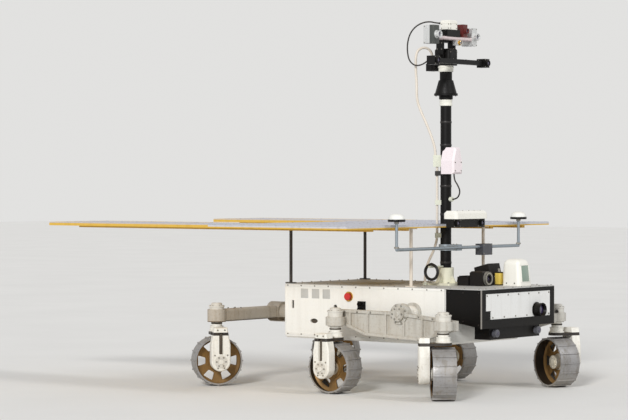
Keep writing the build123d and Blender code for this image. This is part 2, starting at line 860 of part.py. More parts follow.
# Clips, junction box and glands that hold the mast's cables, and the peg for the coil
bundle_way = heading(bundle_angle)
bundle_axis = Vector(mast_x, 0, 0) + bundle_way * bundle_offset
bundle_foot = Vector(mast_x, 0, body_top) + bundle_way * bundle_foot_offset
coil_reach = coil_side + coil_cord_radius + peg_tip
with BuildPart() as mast_clips:
    clip_reach = bundle_offset + bundle_radius + cable_clip_wall
    for level in cable_clip_levels:
        with BuildSketch(Plane(origin=(mast_x, 0, level), x_dir=bundle_way, z_dir=(0, 0, 1))):
            with Locations((clip_reach / 2, 0)):
                Rectangle(clip_reach, cable_clip_width)
        extrude(amount=cable_clip_height / 2, both=True)
    with BuildSketch(Plane(origin=(mast_x, 0, junction_bottom), x_dir=bundle_way, z_dir=(0, 0, 1))):
        with Locations((junction_reach / 2, 0)):
            Rectangle(junction_reach, cable_clip_width)
    extrude(amount=junction_height)
    with BuildSketch(Plane(origin=(mast_x, 0, receiver_gland_level), z_dir=(1, 0, 0))):
        Circle(gland_radius)
    extrude(amount=mast_radius + gland_height)
    with BuildSketch(Plane(origin=(mast_x, 0, peg_level), z_dir=(0, -1, 0))):
        Circle(peg_radius)
    extrude(amount=coil_reach)
    with BuildSketch(mast_plane.offset(socket_bottom)):
        Circle(mast_radius)
    extrude(amount=mast_top - socket_bottom, mode=Mode.SUBTRACT)
    with BuildSketch(Plane(origin=bundle_axis)):
        Circle(bundle_radius)
    extrude(amount=junction_bottom, mode=Mode.SUBTRACT)
    with BuildSketch(Plane(origin=bundle_foot)):
        Circle(gland_radius)
    extrude(amount=gland_height)
mast_clips.part.label = "mast_clips"
export_step(mast_clips.part, "parts/mast_clips.step")

# Coil of cable that hangs on the peg
coil_z = peg_level + peg_radius + soft_gap - (coil_radius - coil_cord_radius)
with BuildPart() as cable_coil:
    with BuildSketch(Plane(origin=(mast_x, -coil_side, coil_z), x_dir=(0, 1, 0), z_dir=(1, 0, 0))):
        with Locations((0, coil_radius)):
            Circle(coil_cord_radius)
    revolve(axis=Axis((mast_x, -coil_side, coil_z), (0, 1, 0)))
cable_coil.part.label = "cable_coil"
export_step(cable_coil.part, "parts/cable_coil.step")

# Pan unit: a pale ring, the box with the tilt shaft and the gearbox at its back
pan_bottom = neck_step_top + face_clearance
pan_box_bottom = pan_bottom + pan_ring_height
tilt_z = pan_box_bottom + tilt_axis_rise
pan_rear_x = mast_x - pan_box_length / 2 - pan_rear_length
pan_rear_bottom = pan_bottom + pan_rear_rise
pan_rear_top = pan_rear_bottom + pan_rear_height
with BuildPart() as pan_ring:
    with BuildSketch(mast_plane.offset(pan_bottom)):
        Circle(pan_ring_radius)
    extrude(amount=pan_ring_height)
pan_ring.part.label = "pan_ring"
export_step(pan_ring.part, "parts/pan_ring.step")

with BuildPart() as pan_box:
    with BuildSketch(mast_plane.offset(pan_box_bottom)):
        RectangleRounded(pan_box_length, pan_box_width, pan_box_corner)
    extrude(amount=pan_box_height)
    chamfer(pan_box.faces().sort_by(Axis.Z)[-1].edges(), pan_box_corner / 2)
    with BuildSketch(mast_plane.offset(pan_rear_bottom)):
        with Locations((-(pan_box_length + pan_rear_length) / 2, 0)):
            Rectangle(pan_rear_length, pan_rear_width)
    extrude(amount=pan_rear_height)
    with BuildSketch(Plane(origin=(pan_rear_x + bundle_gland_inset, -bundle_gland_side, pan_rear_top))):
        Circle(gland_radius)
    extrude(amount=gland_height)
    with BuildSketch(Plane(origin=(mast_x, 0, tilt_z), z_dir=(0, 1, 0))):
        Circle(tilt_shaft_radius)
    extrude(amount=pan_box_width / 2 + fork_gap + fork_thickness / 2, both=True)
pan_box.part.label = "pan_box"
export_step(pan_box.part, "parts/pan_box.step")

# Navigation camera bar in front of the pan box, with a camera at each end
nav_z = pan_box_bottom + nav_height / 2 + nav_drop
nav_stub_length = nav_ahead - pan_box_length / 2
with BuildPart() as nav_bar:
    with Locations((mast_x + nav_ahead, 0, nav_z)):
        Box(nav_depth, nav_width - 2 * nav_camera_width, nav_height)
    with Locations((mast_x + nav_ahead - nav_stub_length / 2, 0, nav_z)):
        Box(nav_stub_length, pan_box_width / 2, nav_height)
    for side in (-1, 1):
        middle_y = side * (nav_width - nav_camera_width) / 2
        with Locations((mast_x + nav_ahead, middle_y, nav_z)):
            Box(nav_camera_depth, nav_camera_width, nav_camera_height)
        lens_base = (mast_x + nav_ahead + nav_camera_depth / 2, middle_y, nav_z)
        with BuildSketch(Plane(origin=lens_base, z_dir=(1, 0, 0))):
            Circle(nav_lens_radius)
            Circle(nav_lens_radius - lens_lip, mode=Mode.SUBTRACT)
        extrude(amount=nav_lens_length)
nav_bar.part.label = "nav_bar"
export_step(nav_bar.part, "parts/nav_bar.step")

# Tilting fork, with a connector block on its right arm
bench_bottom = tilt_z + bench_rise
fork_inner = pan_box_width / 2 + fork_gap
fork_outer = fork_inner + fork_thickness
with BuildPart() as tilt_fork:
    for side in (-1, 1):
        with BuildSketch(
            Plane(origin=(mast_x, side * fork_inner, tilt_z), x_dir=(1, 0, 0), z_dir=(0, side, 0))
        ):
            Circle(fork_width / 2)
            with Locations((0, -side * (bench_rise / 2))):
                Rectangle(fork_width, bench_rise)
            Circle(tilt_shaft_radius + running_clearance, mode=Mode.SUBTRACT)
        extrude(amount=fork_thickness)
    with BuildSketch(mast_plane.offset(bench_bottom - fork_thickness)):
        Rectangle(fork_width, 2 * fork_outer)
    extrude(amount=fork_thickness)
    with Locations((mast_x, -fork_outer - fork_connector_width / 2, tilt_z)):
        Box(fork_connector_length, fork_connector_width, fork_connector_width)
tilt_fork.part.label = "tilt_fork"
export_step(tilt_fork.part, "parts/tilt_fork.step")

bench_x = mast_x + bench_ahead
bench_top = bench_bottom + bench_thickness
bench_middle_z = bench_bottom + bench_thickness / 2
with BuildPart() as camera_bench:
    with Locations((bench_x, 0, bench_middle_z)):
        Box(bench_depth, bench_width, bench_thickness)
    chamfer(camera_bench.edges().filter_by(Axis.Y), bench_edge)
camera_bench.part.label = "camera_bench"
export_step(camera_bench.part, "parts/camera_bench.step")

# Wide cameras at the ends of the bench, and a small one under it
small_camera_x = mast_x + small_camera_ahead
small_camera_z = bench_bottom - small_camera_height / 2
with BuildPart() as wide_cameras:
    for side in (-1, 1):
        middle_y = side * (bench_width + camera_width) / 2
        camera_z = bench_middle_z + camera_rise
        with BuildSketch(Plane(origin=(bench_x - camera_length / 2, middle_y, camera_z), z_dir=(1, 0, 0))):
            RectangleRounded(camera_height, camera_width, camera_edge)
        extrude(amount=camera_length)
        with BuildSketch(Plane(origin=(bench_x + camera_length / 2, middle_y, camera_z), z_dir=(1, 0, 0))):
            Circle(lens_radius)
            Circle(lens_radius - lens_lip, mode=Mode.SUBTRACT)
        extrude(amount=lens_length)
    with Locations((small_camera_x, small_camera_side, small_camera_z)):
        Box(small_camera_length, small_camera_width, small_camera_height)
    lens_base = (small_camera_x + small_camera_length / 2, small_camera_side, small_camera_z)
    with BuildSketch(Plane(origin=lens_base, z_dir=(1, 0, 0))):
        Circle(small_lens_radius)
        Circle(small_lens_radius - lens_lip, mode=Mode.SUBTRACT)
    extrude(amount=small_lens_length)
wide_cameras.part.label = "wide_cameras"
export_step(wide_cameras.part, "parts/wide_cameras.step")

# Dark red camera on the bench
with BuildPart() as long_camera:
    with Locations((bench_x, red_camera_side, bench_top + red_camera_height / 2)):
        Box(red_camera_length, red_camera_width, red_camera_height)
    with BuildSketch(
        Plane(
            origin=(bench_x + red_camera_length / 2, red_camera_side, bench_top + red_camera_height / 2),
            z_dir=(1, 0, 0),
        )
    ):
        Circle(red_lens_radius)
        Circle(red_lens_radius - lens_lip, mode=Mode.SUBTRACT)
    extrude(amount=red_lens_length)
long_camera.part.label = "long_camera"
export_step(long_camera.part, "parts/long_camera.step")

# Black box on the bench, and the white electronics box on top of it
computer_top = bench_top + computer_height
with BuildPart() as head_computer:
    with Locations((bench_x, computer_side, bench_top + computer_height / 2)):
        Box(computer_depth, computer_width, computer_height)
head_computer.part.label = "head_computer"
export_step(head_computer.part, "parts/head_computer.step")

with BuildPart() as head_electronics:
    with Locations((bench_x, computer_side, computer_top + electronics_height / 2)):
        Box(electronics_depth, electronics_width, electronics_height)
    chamfer(head_electronics.faces().sort_by(Axis.Z)[-1].edges(), camera_edge)
head_electronics.part.label = "head_electronics"
export_step(head_electronics.part, "parts/head_electronics.step")

# Solar array: a board with a notch round the mast and two wings behind, stiffened underneath
array_front_x = mast_x + array_front_ahead
array_rear_x = array_front_x - array_length
array_step_x = array_front_x - array_solid_length
half_array = array_width / 2
wing_y = half_array - wing_width / 2
notch_half = mast_radius + mast_notch_gap
board_thickness = array_thickness - skin_thickness
board_top = array_bottom + board_thickness
stringer_side = post_side + post_head / 2 + stringer_clearance + stringer_width / 2
array_middle_x = (array_front_x + array_rear_x) / 2
solid_middle_x = (array_front_x + array_step_x) / 2
with BuildPart() as solar_array:
    with BuildSketch(Plane.XY.offset(array_bottom)):
        with Locations((solid_middle_x, 0)):
            Rectangle(array_solid_length, array_width)
        for side in (-1, 1):
            with Locations((array_middle_x, side * wing_y)):
                Rectangle(array_length, wing_width)
        with Locations((array_front_x, 0)):
            Rectangle(2 * (array_front_ahead + notch_half), 2 * notch_half, mode=Mode.SUBTRACT)
    extrude(amount=board_thickness)
    with BuildSketch(Plane.XY.offset(array_bottom)):
        for side in (-1, 1):
            with Locations((array_middle_x, side * wing_y)):
                Rectangle(array_length - 2 * stringer_inset, stringer_width)
            with Locations((solid_middle_x, side * stringer_side)):
                Rectangle(array_solid_length - 2 * stringer_inset, stringer_width)
    extrude(amount=-stringer_height)
solar_array.part.label = "solar_array"
export_step(solar_array.part, "parts/solar_array.step")

# Grey top sheets of the array, with joints between them
sheet_length = (array_solid_length - skin_gap) / 2
wing_run = array_length - array_solid_length
with BuildPart() as array_skin:
    with BuildSketch(Plane.XY.offset(board_top)):
        for side in (-1, 1):
            with Locations((array_rear_x + wing_run / 2, side * wing_y)):
                Rectangle(wing_run - skin_gap, wing_width)
            for sheet_x in (array_front_x - sheet_length / 2, array_step_x + sheet_length / 2):
                with Locations((sheet_x, side * half_array / 2)):
                    Rectangle(sheet_length, half_array - skin_gap)
        with Locations((array_front_x, 0)):
            Rectangle(2 * (array_front_ahead + notch_half), 2 * notch_half, mode=Mode.SUBTRACT)
    extrude(amount=skin_thickness)
array_skin.part.label = "array_skin"
export_step(array_skin.part, "parts/array_skin.step")

# Posts that carry the array, with feet on the deck and plates under the board
rear_post_x = body_rear_x + rear_post_inset
front_post_x = mast_x + front_post_ahead
with BuildPart() as array_posts:
    for post_x in (rear_post_x, front_post_x):
        for side in (-1, 1):
            post_plane = Plane(origin=(post_x, side * post_side, body_top))
            with BuildSketch(post_plane):
                RectangleRounded(post_foot, post_foot / 2, post_foot_thickness)
            extrude(amount=post_foot_thickness)
            with BuildSketch(post_plane):
                Circle(post_radius)
            extrude(amount=array_bottom - body_top)
            with BuildSketch(post_plane.offset(array_bottom - body_top)):
                Rectangle(post_head, post_head)
            extrude(amount=-post_foot_thickness)
array_posts.part.label = "array_posts"
export_step(array_posts.part, "parts/array_posts.step")

# Cross bar clamped to the mast, with an antenna post at each end
bar_x = mast_x + cross_bar_ahead
with BuildPart() as cross_bar:
    with BuildSketch(Plane(origin=(bar_x, 0, cross_bar_height), z_dir=(0, 1, 0))):
        Circle(cross_bar_radius)
    extrude(amount=antenna_side, both=True)
    with Locations((bar_x, bar_box_side, cross_bar_height - bar_box_drop)):
        Box(bar_box_depth, bar_box_width, bar_box_height)
    for side in (-1, 1):
        with BuildSketch(Plane(origin=(bar_x, side * antenna_side, cross_bar_height))):
            Circle(antenna_post_radius)
        extrude(amount=antenna_post_top - cross_bar_height)
    with Locations(((mast_x + bar_x) / 2, 0, cross_bar_height)):
        Box(cross_bar_ahead, clamp_width, clamp_height)
    with BuildSketch(mast_plane.offset(cross_bar_height - clamp_height / 2)):
        Circle(mast_radius + clamp_collar)
    extrude(amount=clamp_height)
    with BuildSketch(mast_plane.offset(cross_bar_height - clamp_height)):
        Circle(mast_radius)
    extrude(amount=2 * clamp_height, mode=Mode.SUBTRACT)
cross_bar.part.label = "cross_bar"
export_step(cross_bar.part, "parts/cross_bar.step")

with BuildPart() as antennas:
    for side in (-1, 1):
        antenna_plane = Plane(origin=(bar_x, side * antenna_side, antenna_post_top))
        with BuildSketch(antenna_plane):
            Circle(antenna_radius)
        extrude(amount=antenna_base)
        with BuildSketch(antenna_plane.offset(antenna_base)):
            Circle(antenna_radius - antenna_rim)
        extrude(amount=antenna_dome, taper=12)
antennas.part.label = "antennas"
export_step(antennas.part, "parts/antennas.step")

# Localisation camera bar on an arm from the mast, under its white cover
loc_x = mast_x + loc_ahead
loc_top = loc_bottom + loc_height
loc_middle_z = loc_bottom + loc_height / 2
with BuildPart() as loc_camera:
    with Locations((loc_x, 0, loc_middle_z)):
        Box(loc_depth, loc_width, loc_height)
    with Locations(((mast_x + loc_x) / 2, 0, loc_middle_z)):
        Box(loc_ahead, loc_arm_width, loc_height / 2)
    for side in (-1, 1):
        with BuildSketch(
            Plane(
                origin=(loc_x + loc_depth / 2, side * (loc_width / 2 - loc_lens_inset), loc_middle_z),
                z_dir=(1, 0, 0),
            )
        ):
            Circle(loc_lens_radius)
            Circle(loc_lens_radius - lens_lip, mode=Mode.SUBTRACT)
        extrude(amount=loc_lens_length)
    with BuildSketch(mast_plane.offset(loc_bottom)):
        Circle(mast_radius)
    extrude(amount=loc_height, mode=Mode.SUBTRACT)
loc_camera.part.label = "loc_camera"
export_step(loc_camera.part, "parts/loc_camera.step")

with BuildPart() as loc_cover:
    with BuildSketch(Plane(origin=(loc_x, 0, loc_top))):
        RectangleRounded(loc_depth + 2 * loc_cover_overhang, loc_width, loc_cover_corner)
    extrude(amount=loc_cover_height)
    chamfer(loc_cover.faces().sort_by(Axis.Z)[-1].edges(), loc_cover_edge)
loc_cover.part.label = "loc_cover"
export_step(loc_cover.part, "parts/loc_cover.step")

# White domed unit on the front of the deck, with a window in its front
dome_unit_x = mast_x + dome_unit_ahead
window_middle = (dome_unit_x + dome_unit_length / 2, dome_unit_side, body_top + dome_unit_height / 2)
with BuildPart() as dome_unit:
    with BuildSketch(Plane(origin=(dome_unit_x, dome_unit_side, body_top))):
        RectangleRounded(dome_unit_length, dome_unit_width, dome_unit_corner)
    extrude(amount=dome_unit_height)
    fillet(dome_unit.faces().sort_by(Axis.Z)[-1].edges(), dome_unit_corner - nose_corner)
    with BuildSketch(Plane(origin=window_middle, z_dir=(1, 0, 0))):
        Rectangle(dome_window_height, dome_window_width)
    extrude(amount=-dome_window_depth, mode=Mode.SUBTRACT)
dome_unit.part.label = "dome_unit"
export_step(dome_unit.part, "parts/dome_unit.step")

# Units on the deck: a camera with a round bezel, a box with a sloping underside, a low box and a tall one
tilted_rear_x = mast_x + tilted_box_ahead - tilted_box_length / 2
tilted_front_x = tilted_rear_x + tilted_box_length
with BuildPart() as deck_units:
    with Locations((mast_x + scanner_ahead, scanner_side, body_top + scanner_height / 2)):
        Box(scanner_length, scanner_width, scanner_height)
    chamfer(deck_units.faces().sort_by(Axis.Z)[-1].edges(), nose_corner)
    with BuildSketch(
        Plane(
            origin=(mast_x + scanner_ahead + scanner_length / 2, scanner_side, body_top + scanner_height / 2),
            z_dir=(1, 0, 0),
        )
    ):
        Circle(scanner_bezel_radius)
        Circle(scanner_lens_radius, mode=Mode.SUBTRACT)
    extrude(amount=scanner_bezel_length)
    with BuildSketch(Plane.XZ.offset(-tilted_box_side - tilted_box_width / 2)):
        with BuildLine():
            Polyline(
                (tilted_rear_x, body_top + tilted_box_rear),
                (tilted_front_x, body_top + tilted_box_front),
                (tilted_front_x - tilted_box_leg, body_top + tilted_box_front + tilted_box_height),
                (tilted_rear_x - tilted_box_leg, body_top + tilted_box_rear + tilted_box_height),
                close=True,
            )
        make_face()
    extrude(amount=tilted_box_width)
    with BuildSketch(Plane.XY.offset(body_top)):
        for leg_x in (tilted_rear_x + tilted_box_leg, tilted_front_x - 2 * tilted_box_leg):
            with Locations((leg_x, tilted_box_side)):
                Rectangle(tilted_box_leg, tilted_box_width / 2)
    extrude(amount=tilted_box_front)
    with Locations((mast_x + low_box_ahead, low_box_side, body_top + low_box_height / 2)):
        Box(low_box_length, low_box_width, low_box_height)
    with Locations((mast_x + yellow_unit_ahead, yellow_unit_side, body_top + yellow_unit_height / 2)):
        Box(yellow_unit_size, yellow_unit_size, yellow_unit_height)
deck_units.part.label = "deck_units"
export_step(deck_units.part, "parts/deck_units.step")


# Cables on the mast and the head
def from_mast(reach, side, height):
    """Point beside the mast's axis: ahead of it, to its left, above the ground."""
    return Vector(mast_x + reach, side, height)


def beside_mast(offset, height):
    """Point on the side of the mast where the cable bundle runs."""
    return Vector(mast_x, 0, height) + bundle_way * offset


def route_radii(points):
    """Radius of each arc between two runs, as large as the shorter run allows."""
    runs = [end - start for start, end in zip(points, points[1:])]
    radii = []
    for before, after in zip(runs, runs[1:]):
        half_turn = radians(before.get_angle(after)) / 2
        radii.append(0.45 * min(before.length, after.length) / tan(half_turn))
    print("radii", [round(radius) for radius in radii])
    return radii


upper_start = beside_mast(160, bundle_split + face_clearance)
gland_top = Vector(pan_rear_x + bundle_gland_inset, -bundle_gland_side, pan_rear_top + gland_height)
bundle_routes = [
    [
        beside_mast(bundle_foot_offset, body_top + gland_height),
        beside_mast(bundle_foot_offset, 645),
        beside_mast(96, 705),
        beside_mast(66, 765),
        beside_mast(bundle_offset, 825),
        beside_mast(bundle_offset, junction_bottom),
    ],
    [
        beside_mast(bundle_upper_offset, junction_bottom + junction_height),
        beside_mast(bundle_upper_offset, 1325),
        beside_mast(80, 1395),
        beside_mast(110, 1470),
        beside_mast(140, 1535),
        beside_mast(160, 1595),
        beside_mast(160, bundle_split),
    ],
]
upper_route = [
    upper_start,
    upper_start + Vector(0, 0, 60),
    from_mast(-133, -99, 1755),
    from_mast(-133, -99, 1849),
    from_mast(-118, -72, 1880),
    from_mast(-98, -35, 1880),
    Vector(gland_top.X, gland_top.Y, 1849),
    gland_top,
]
head_route = [
    Vector(bench_x - electronics_depth / 2, -34, 2012),
    from_mast(-32, -34, 2012),
    from_mast(-72, -66, 2024),
    from_mast(-118, -100, 2006),
    from_mast(-150, -122, 1966),
    from_mast(-166, -130, 1912),
    from_mast(-166, -132, 1856),
    from_mast(-154, -131, 1806),
    from_mast(-118, -124, 1777),
    from_mast(-76, -104, 1786),
    Vector(mast_x - 44, -fork_outer - fork_connector_width / 2, tilt_z),
    Vector(mast_x - fork_connector_length / 2, -fork_outer - fork_connector_width / 2, tilt_z),
]
receiver_route = [
    from_mast(66, -16, mast_box_bottom),
    from_mast(66, -16, 1156),
    from_mast(88, -12, 1126),
    from_mast(100, -6, 1092),
    from_mast(84, 0, 1060),
    Vector(mast_x + mast_radius + gland_height + gland_radius, 0, receiver_gland_level),
    Vector(mast_x + mast_radius + gland_height, 0, receiver_gland_level),
]

# Node, radius of the cable, its routes
cables = [
    ("mast_cable_lower", bundle_radius, bundle_routes),
    ("mast_cable_upper", bundle_radius, [upper_route]),
    ("head_cable", lead_radius, [head_route]),
    ("receiver_cable", lead_radius, [receiver_route]),
]
for name, cable_radius, routes in cables:
    with BuildPart() as cable:
        for points in routes:
            with BuildLine() as route:
                FilletPolyline(*points, radius=route_radii(points))
            with BuildSketch(Plane(origin=points[0], z_dir=points[1] - points[0])):
                Circle(cable_radius)
            sweep(path=route.line)
    cable.part.label = name
    export_step(cable.part, "parts/" + name + ".step")
    length = sum(edge.length for edge in cable.part.edges().filter_by(GeomType.LINE))
    print(name, "volume over section", round(cable.part.volume / (3.14159 * cable_radius**2)))
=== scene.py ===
import bpy
import bmesh
import json
from math import cos, pi, radians, sin
from mathutils import Matrix, Vector


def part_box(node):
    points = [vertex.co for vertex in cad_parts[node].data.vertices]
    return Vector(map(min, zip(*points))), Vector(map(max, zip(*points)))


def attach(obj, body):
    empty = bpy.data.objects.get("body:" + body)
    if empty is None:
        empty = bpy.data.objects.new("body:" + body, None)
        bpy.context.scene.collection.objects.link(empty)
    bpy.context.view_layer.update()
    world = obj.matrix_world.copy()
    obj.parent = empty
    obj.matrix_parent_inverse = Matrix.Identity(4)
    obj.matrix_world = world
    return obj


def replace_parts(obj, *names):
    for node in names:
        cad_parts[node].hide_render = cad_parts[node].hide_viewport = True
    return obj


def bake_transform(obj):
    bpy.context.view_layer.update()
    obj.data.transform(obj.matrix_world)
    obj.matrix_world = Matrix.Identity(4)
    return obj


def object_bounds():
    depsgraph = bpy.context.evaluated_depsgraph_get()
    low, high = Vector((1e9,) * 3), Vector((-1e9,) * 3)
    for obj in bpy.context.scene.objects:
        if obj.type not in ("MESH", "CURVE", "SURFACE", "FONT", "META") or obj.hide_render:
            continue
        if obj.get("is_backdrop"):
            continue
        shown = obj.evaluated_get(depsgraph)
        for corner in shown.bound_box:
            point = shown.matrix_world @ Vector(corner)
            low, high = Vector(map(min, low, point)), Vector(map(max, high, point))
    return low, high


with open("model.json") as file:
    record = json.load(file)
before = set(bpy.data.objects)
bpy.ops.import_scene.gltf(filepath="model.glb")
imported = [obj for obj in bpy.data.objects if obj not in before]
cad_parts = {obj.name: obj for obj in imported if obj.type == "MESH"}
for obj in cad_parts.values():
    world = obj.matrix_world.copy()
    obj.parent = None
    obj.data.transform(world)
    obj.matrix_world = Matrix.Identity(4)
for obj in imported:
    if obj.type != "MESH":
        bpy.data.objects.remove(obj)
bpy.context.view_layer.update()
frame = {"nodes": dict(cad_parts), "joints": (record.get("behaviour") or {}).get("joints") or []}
joints = {joint["name"]: joint for joint in frame["joints"]}
sides = {"right": -1, "left": 1}
both = (-1, 1)
up, front, back = (0, 0, 1), (1, 0, 0), (-1, 0, 0)
print("frame loaded:", len(frame["nodes"]), "nodes")


# Helpers for modelling

def deselectAll():
    bpy.ops.object.select_all(action='DESELECT')


def pickOnly(*objects):
    deselectAll()
    for thing in objects:
        thing.select_set(True)
    bpy.context.view_layer.objects.active = objects[0]


def freeze(piece):
    pickOnly(piece)
    bpy.ops.object.transform_apply(location=True, rotation=True, scale=True)


def applyModifiers(piece):
    pickOnly(piece)
    for modifier in list(piece.modifiers):
        bpy.ops.object.modifier_apply(modifier=modifier.name)


def bevelEdges(piece, width, segments=2):
    modifier = piece.modifiers.new("edges", 'BEVEL')
    modifier.width = width
    modifier.segments = segments
    modifier.limit_method = 'ANGLE'
    modifier.angle_limit = radians(40)
    applyModifiers(piece)


def outwards(piece):
    pickOnly(piece)
    bpy.ops.object.mode_set(mode='EDIT')
    bpy.ops.mesh.select_all(action='SELECT')
    bpy.ops.mesh.remove_doubles(threshold=0.00001)
    bpy.ops.mesh.normals_make_consistent(inside=False)
    bpy.ops.object.mode_set(mode='OBJECT')


def turned(name, steps, segments=48, at=Matrix()):
    # a round piece on +Z: a disc whose top face is pulled out and scaled, step by step, as (height, radius)
    height, radius = steps[0]
    deselectAll()
    bpy.ops.mesh.primitive_circle_add(vertices=segments, radius=radius, fill_type='NGON',
                                      location=(0, 0, height))
    piece = bpy.context.object
    piece.name = name
    freeze(piece)
    bpy.ops.object.mode_set(mode='EDIT')
    bpy.ops.mesh.select_all(action='SELECT')
    for nextHeight, nextRadius in steps[1:]:
        bpy.ops.mesh.extrude_region_move(TRANSFORM_OT_translate={"value": (0, 0, nextHeight - height)})
        scale = nextRadius / radius
        bpy.ops.transform.resize(value=(scale, scale, 1), center_override=(0, 0, nextHeight))
        height, radius = nextHeight, nextRadius
    bpy.ops.object.mode_set(mode='OBJECT')
    outwards(piece)
    piece.data.transform(at)
    return piece


def block(name, low, high, edge=0.002):  # a box between two corners with its edges rounded
    low, high = Vector(low), Vector(high)
    deselectAll()
    bpy.ops.mesh.primitive_cube_add(size=1, location=(low + high) / 2, scale=high - low)
    piece = bpy.context.object
    piece.name = name
    freeze(piece)
    if edge:
        bevelEdges(piece, edge)
    return piece


def copyTo(piece, matrix, name="copy"):  # a copy with its own mesh, moved there
    twin = piece.copy()
    twin.data = piece.data.copy()
    twin.name = name
    twin.data.transform(matrix)
    bpy.context.collection.objects.link(twin)
    return twin


def copiesOf(piece, matrices):  # a copy at each place, and the pattern is gone
    twins = [copyTo(piece, matrix) for matrix in matrices]
    bpy.data.objects.remove(piece)
    return twins


def joined(name, pieces):
    pickOnly(*pieces)
    if len(pieces) > 1:
        bpy.ops.object.join()
    whole = bpy.context.view_layer.objects.active
    whole.name = name
    return whole


def paint(piece, *names):
    piece.data.materials.clear()
    for name in names:
        piece.data.materials.append(finishes[name])
    return piece


def rideOn(piece, body="chassis", angle=35):
    pickOnly(piece)
    bpy.ops.object.shade_smooth_by_angle(angle=radians(angle))
    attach(piece, body)


def finishPiece(piece, finish, body="chassis", angle=35):
    rideOn(paint(piece, finish), body, angle)
    return piece


def trimOf(name, groups):  # pieces of several finishes joined into one
    return joined(name, [paint(joined(name, pieces), finish) for finish, pieces in groups.items()])


def placed(point, direction, top=up):
    # matrix that puts a piece on +Z at a point, facing along direction, its own X along top
    z = Vector(direction).normalized()
    x = (Vector(top) - z * Vector(top).dot(z)).normalized()
    y = z.cross(x)
    turn = Matrix((x, y, z)).transposed().to_4x4()
    return Matrix.Translation(Vector(point)) @ turn


def middle(node):
    low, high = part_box(node)
    return (low + high) / 2


def around(count, radius, start=0):  # points on a circle, as pairs
    angles = [radians(start + 360 * number / count) for number in range(count)]
    return [(cos(angle) * radius, sin(angle) * radius) for angle in angles]


def rectangle(halfX, halfY):  # the corners of a rectangle, as pairs
    return [(x, y) for x in (-halfX, halfX) for y in (-halfY, halfY)]


def spread(start, end, count):  # evenly spaced points from start to end
    start, end = Vector(start), Vector(end)
    return [start.lerp(end, step / (count - 1)) for step in range(count)]


def facing(direction, points):  # spots for bolts, each a point and the way that its head faces
    return [(point, direction) for point in points]


# Helpers for materials

def tint(colour):  # a display colour, 0 to 255, as the linear one that the shader takes
    return tuple((value / 255) ** 2.2 for value in colour) + (1,)


def addNode(tree, kind, inputs=None, **settings):
    node = tree.nodes.new(kind)
    for key, value in settings.items():
        setattr(node, key, value)
    for key, value in (inputs or {}).items():
        if isinstance(value, bpy.types.NodeSocket):
            tree.links.new(value, node.inputs[key])
        else:
            node.inputs[key].default_value = value
    return node


def mixColour(tree, factor, first, second):
    return addNode(tree, "ShaderNodeMix", {0: factor, 6: first, 7: second}, data_type='RGBA').outputs[2]


def sumOf(tree, first, second, operation='MULTIPLY'):
    return addNode(tree, "ShaderNodeMath", {0: first, 1: second}, operation=operation).outputs[0]


def rampOf(tree, value, low, high, start=0.0, end=1.0):
    return addNode(tree, "ShaderNodeMapRange", {0: value, 1: low, 2: high, 3: start, 4: end}).outputs[0]


def noiseOf(tree, scale, stretch=(1, 1, 1), detail=6):
    where = addNode(tree, "ShaderNodeTexCoord").outputs["Object"]
    moved = addNode(tree, "ShaderNodeMapping", {"Vector": where, "Scale": stretch}).outputs[0]
    noise = addNode(tree, "ShaderNodeTexNoise", {"Vector": moved, "Scale": scale, "Detail": detail})
    return noise.outputs["Fac"]


def newMaterial(name):
    material = bpy.data.materials.new(name)
    material.use_nodes = True
    return material, material.node_tree, material.node_tree.nodes["Principled BSDF"]


white, black, sand = (236, 234, 225), (24, 24, 26), (178, 150, 112)


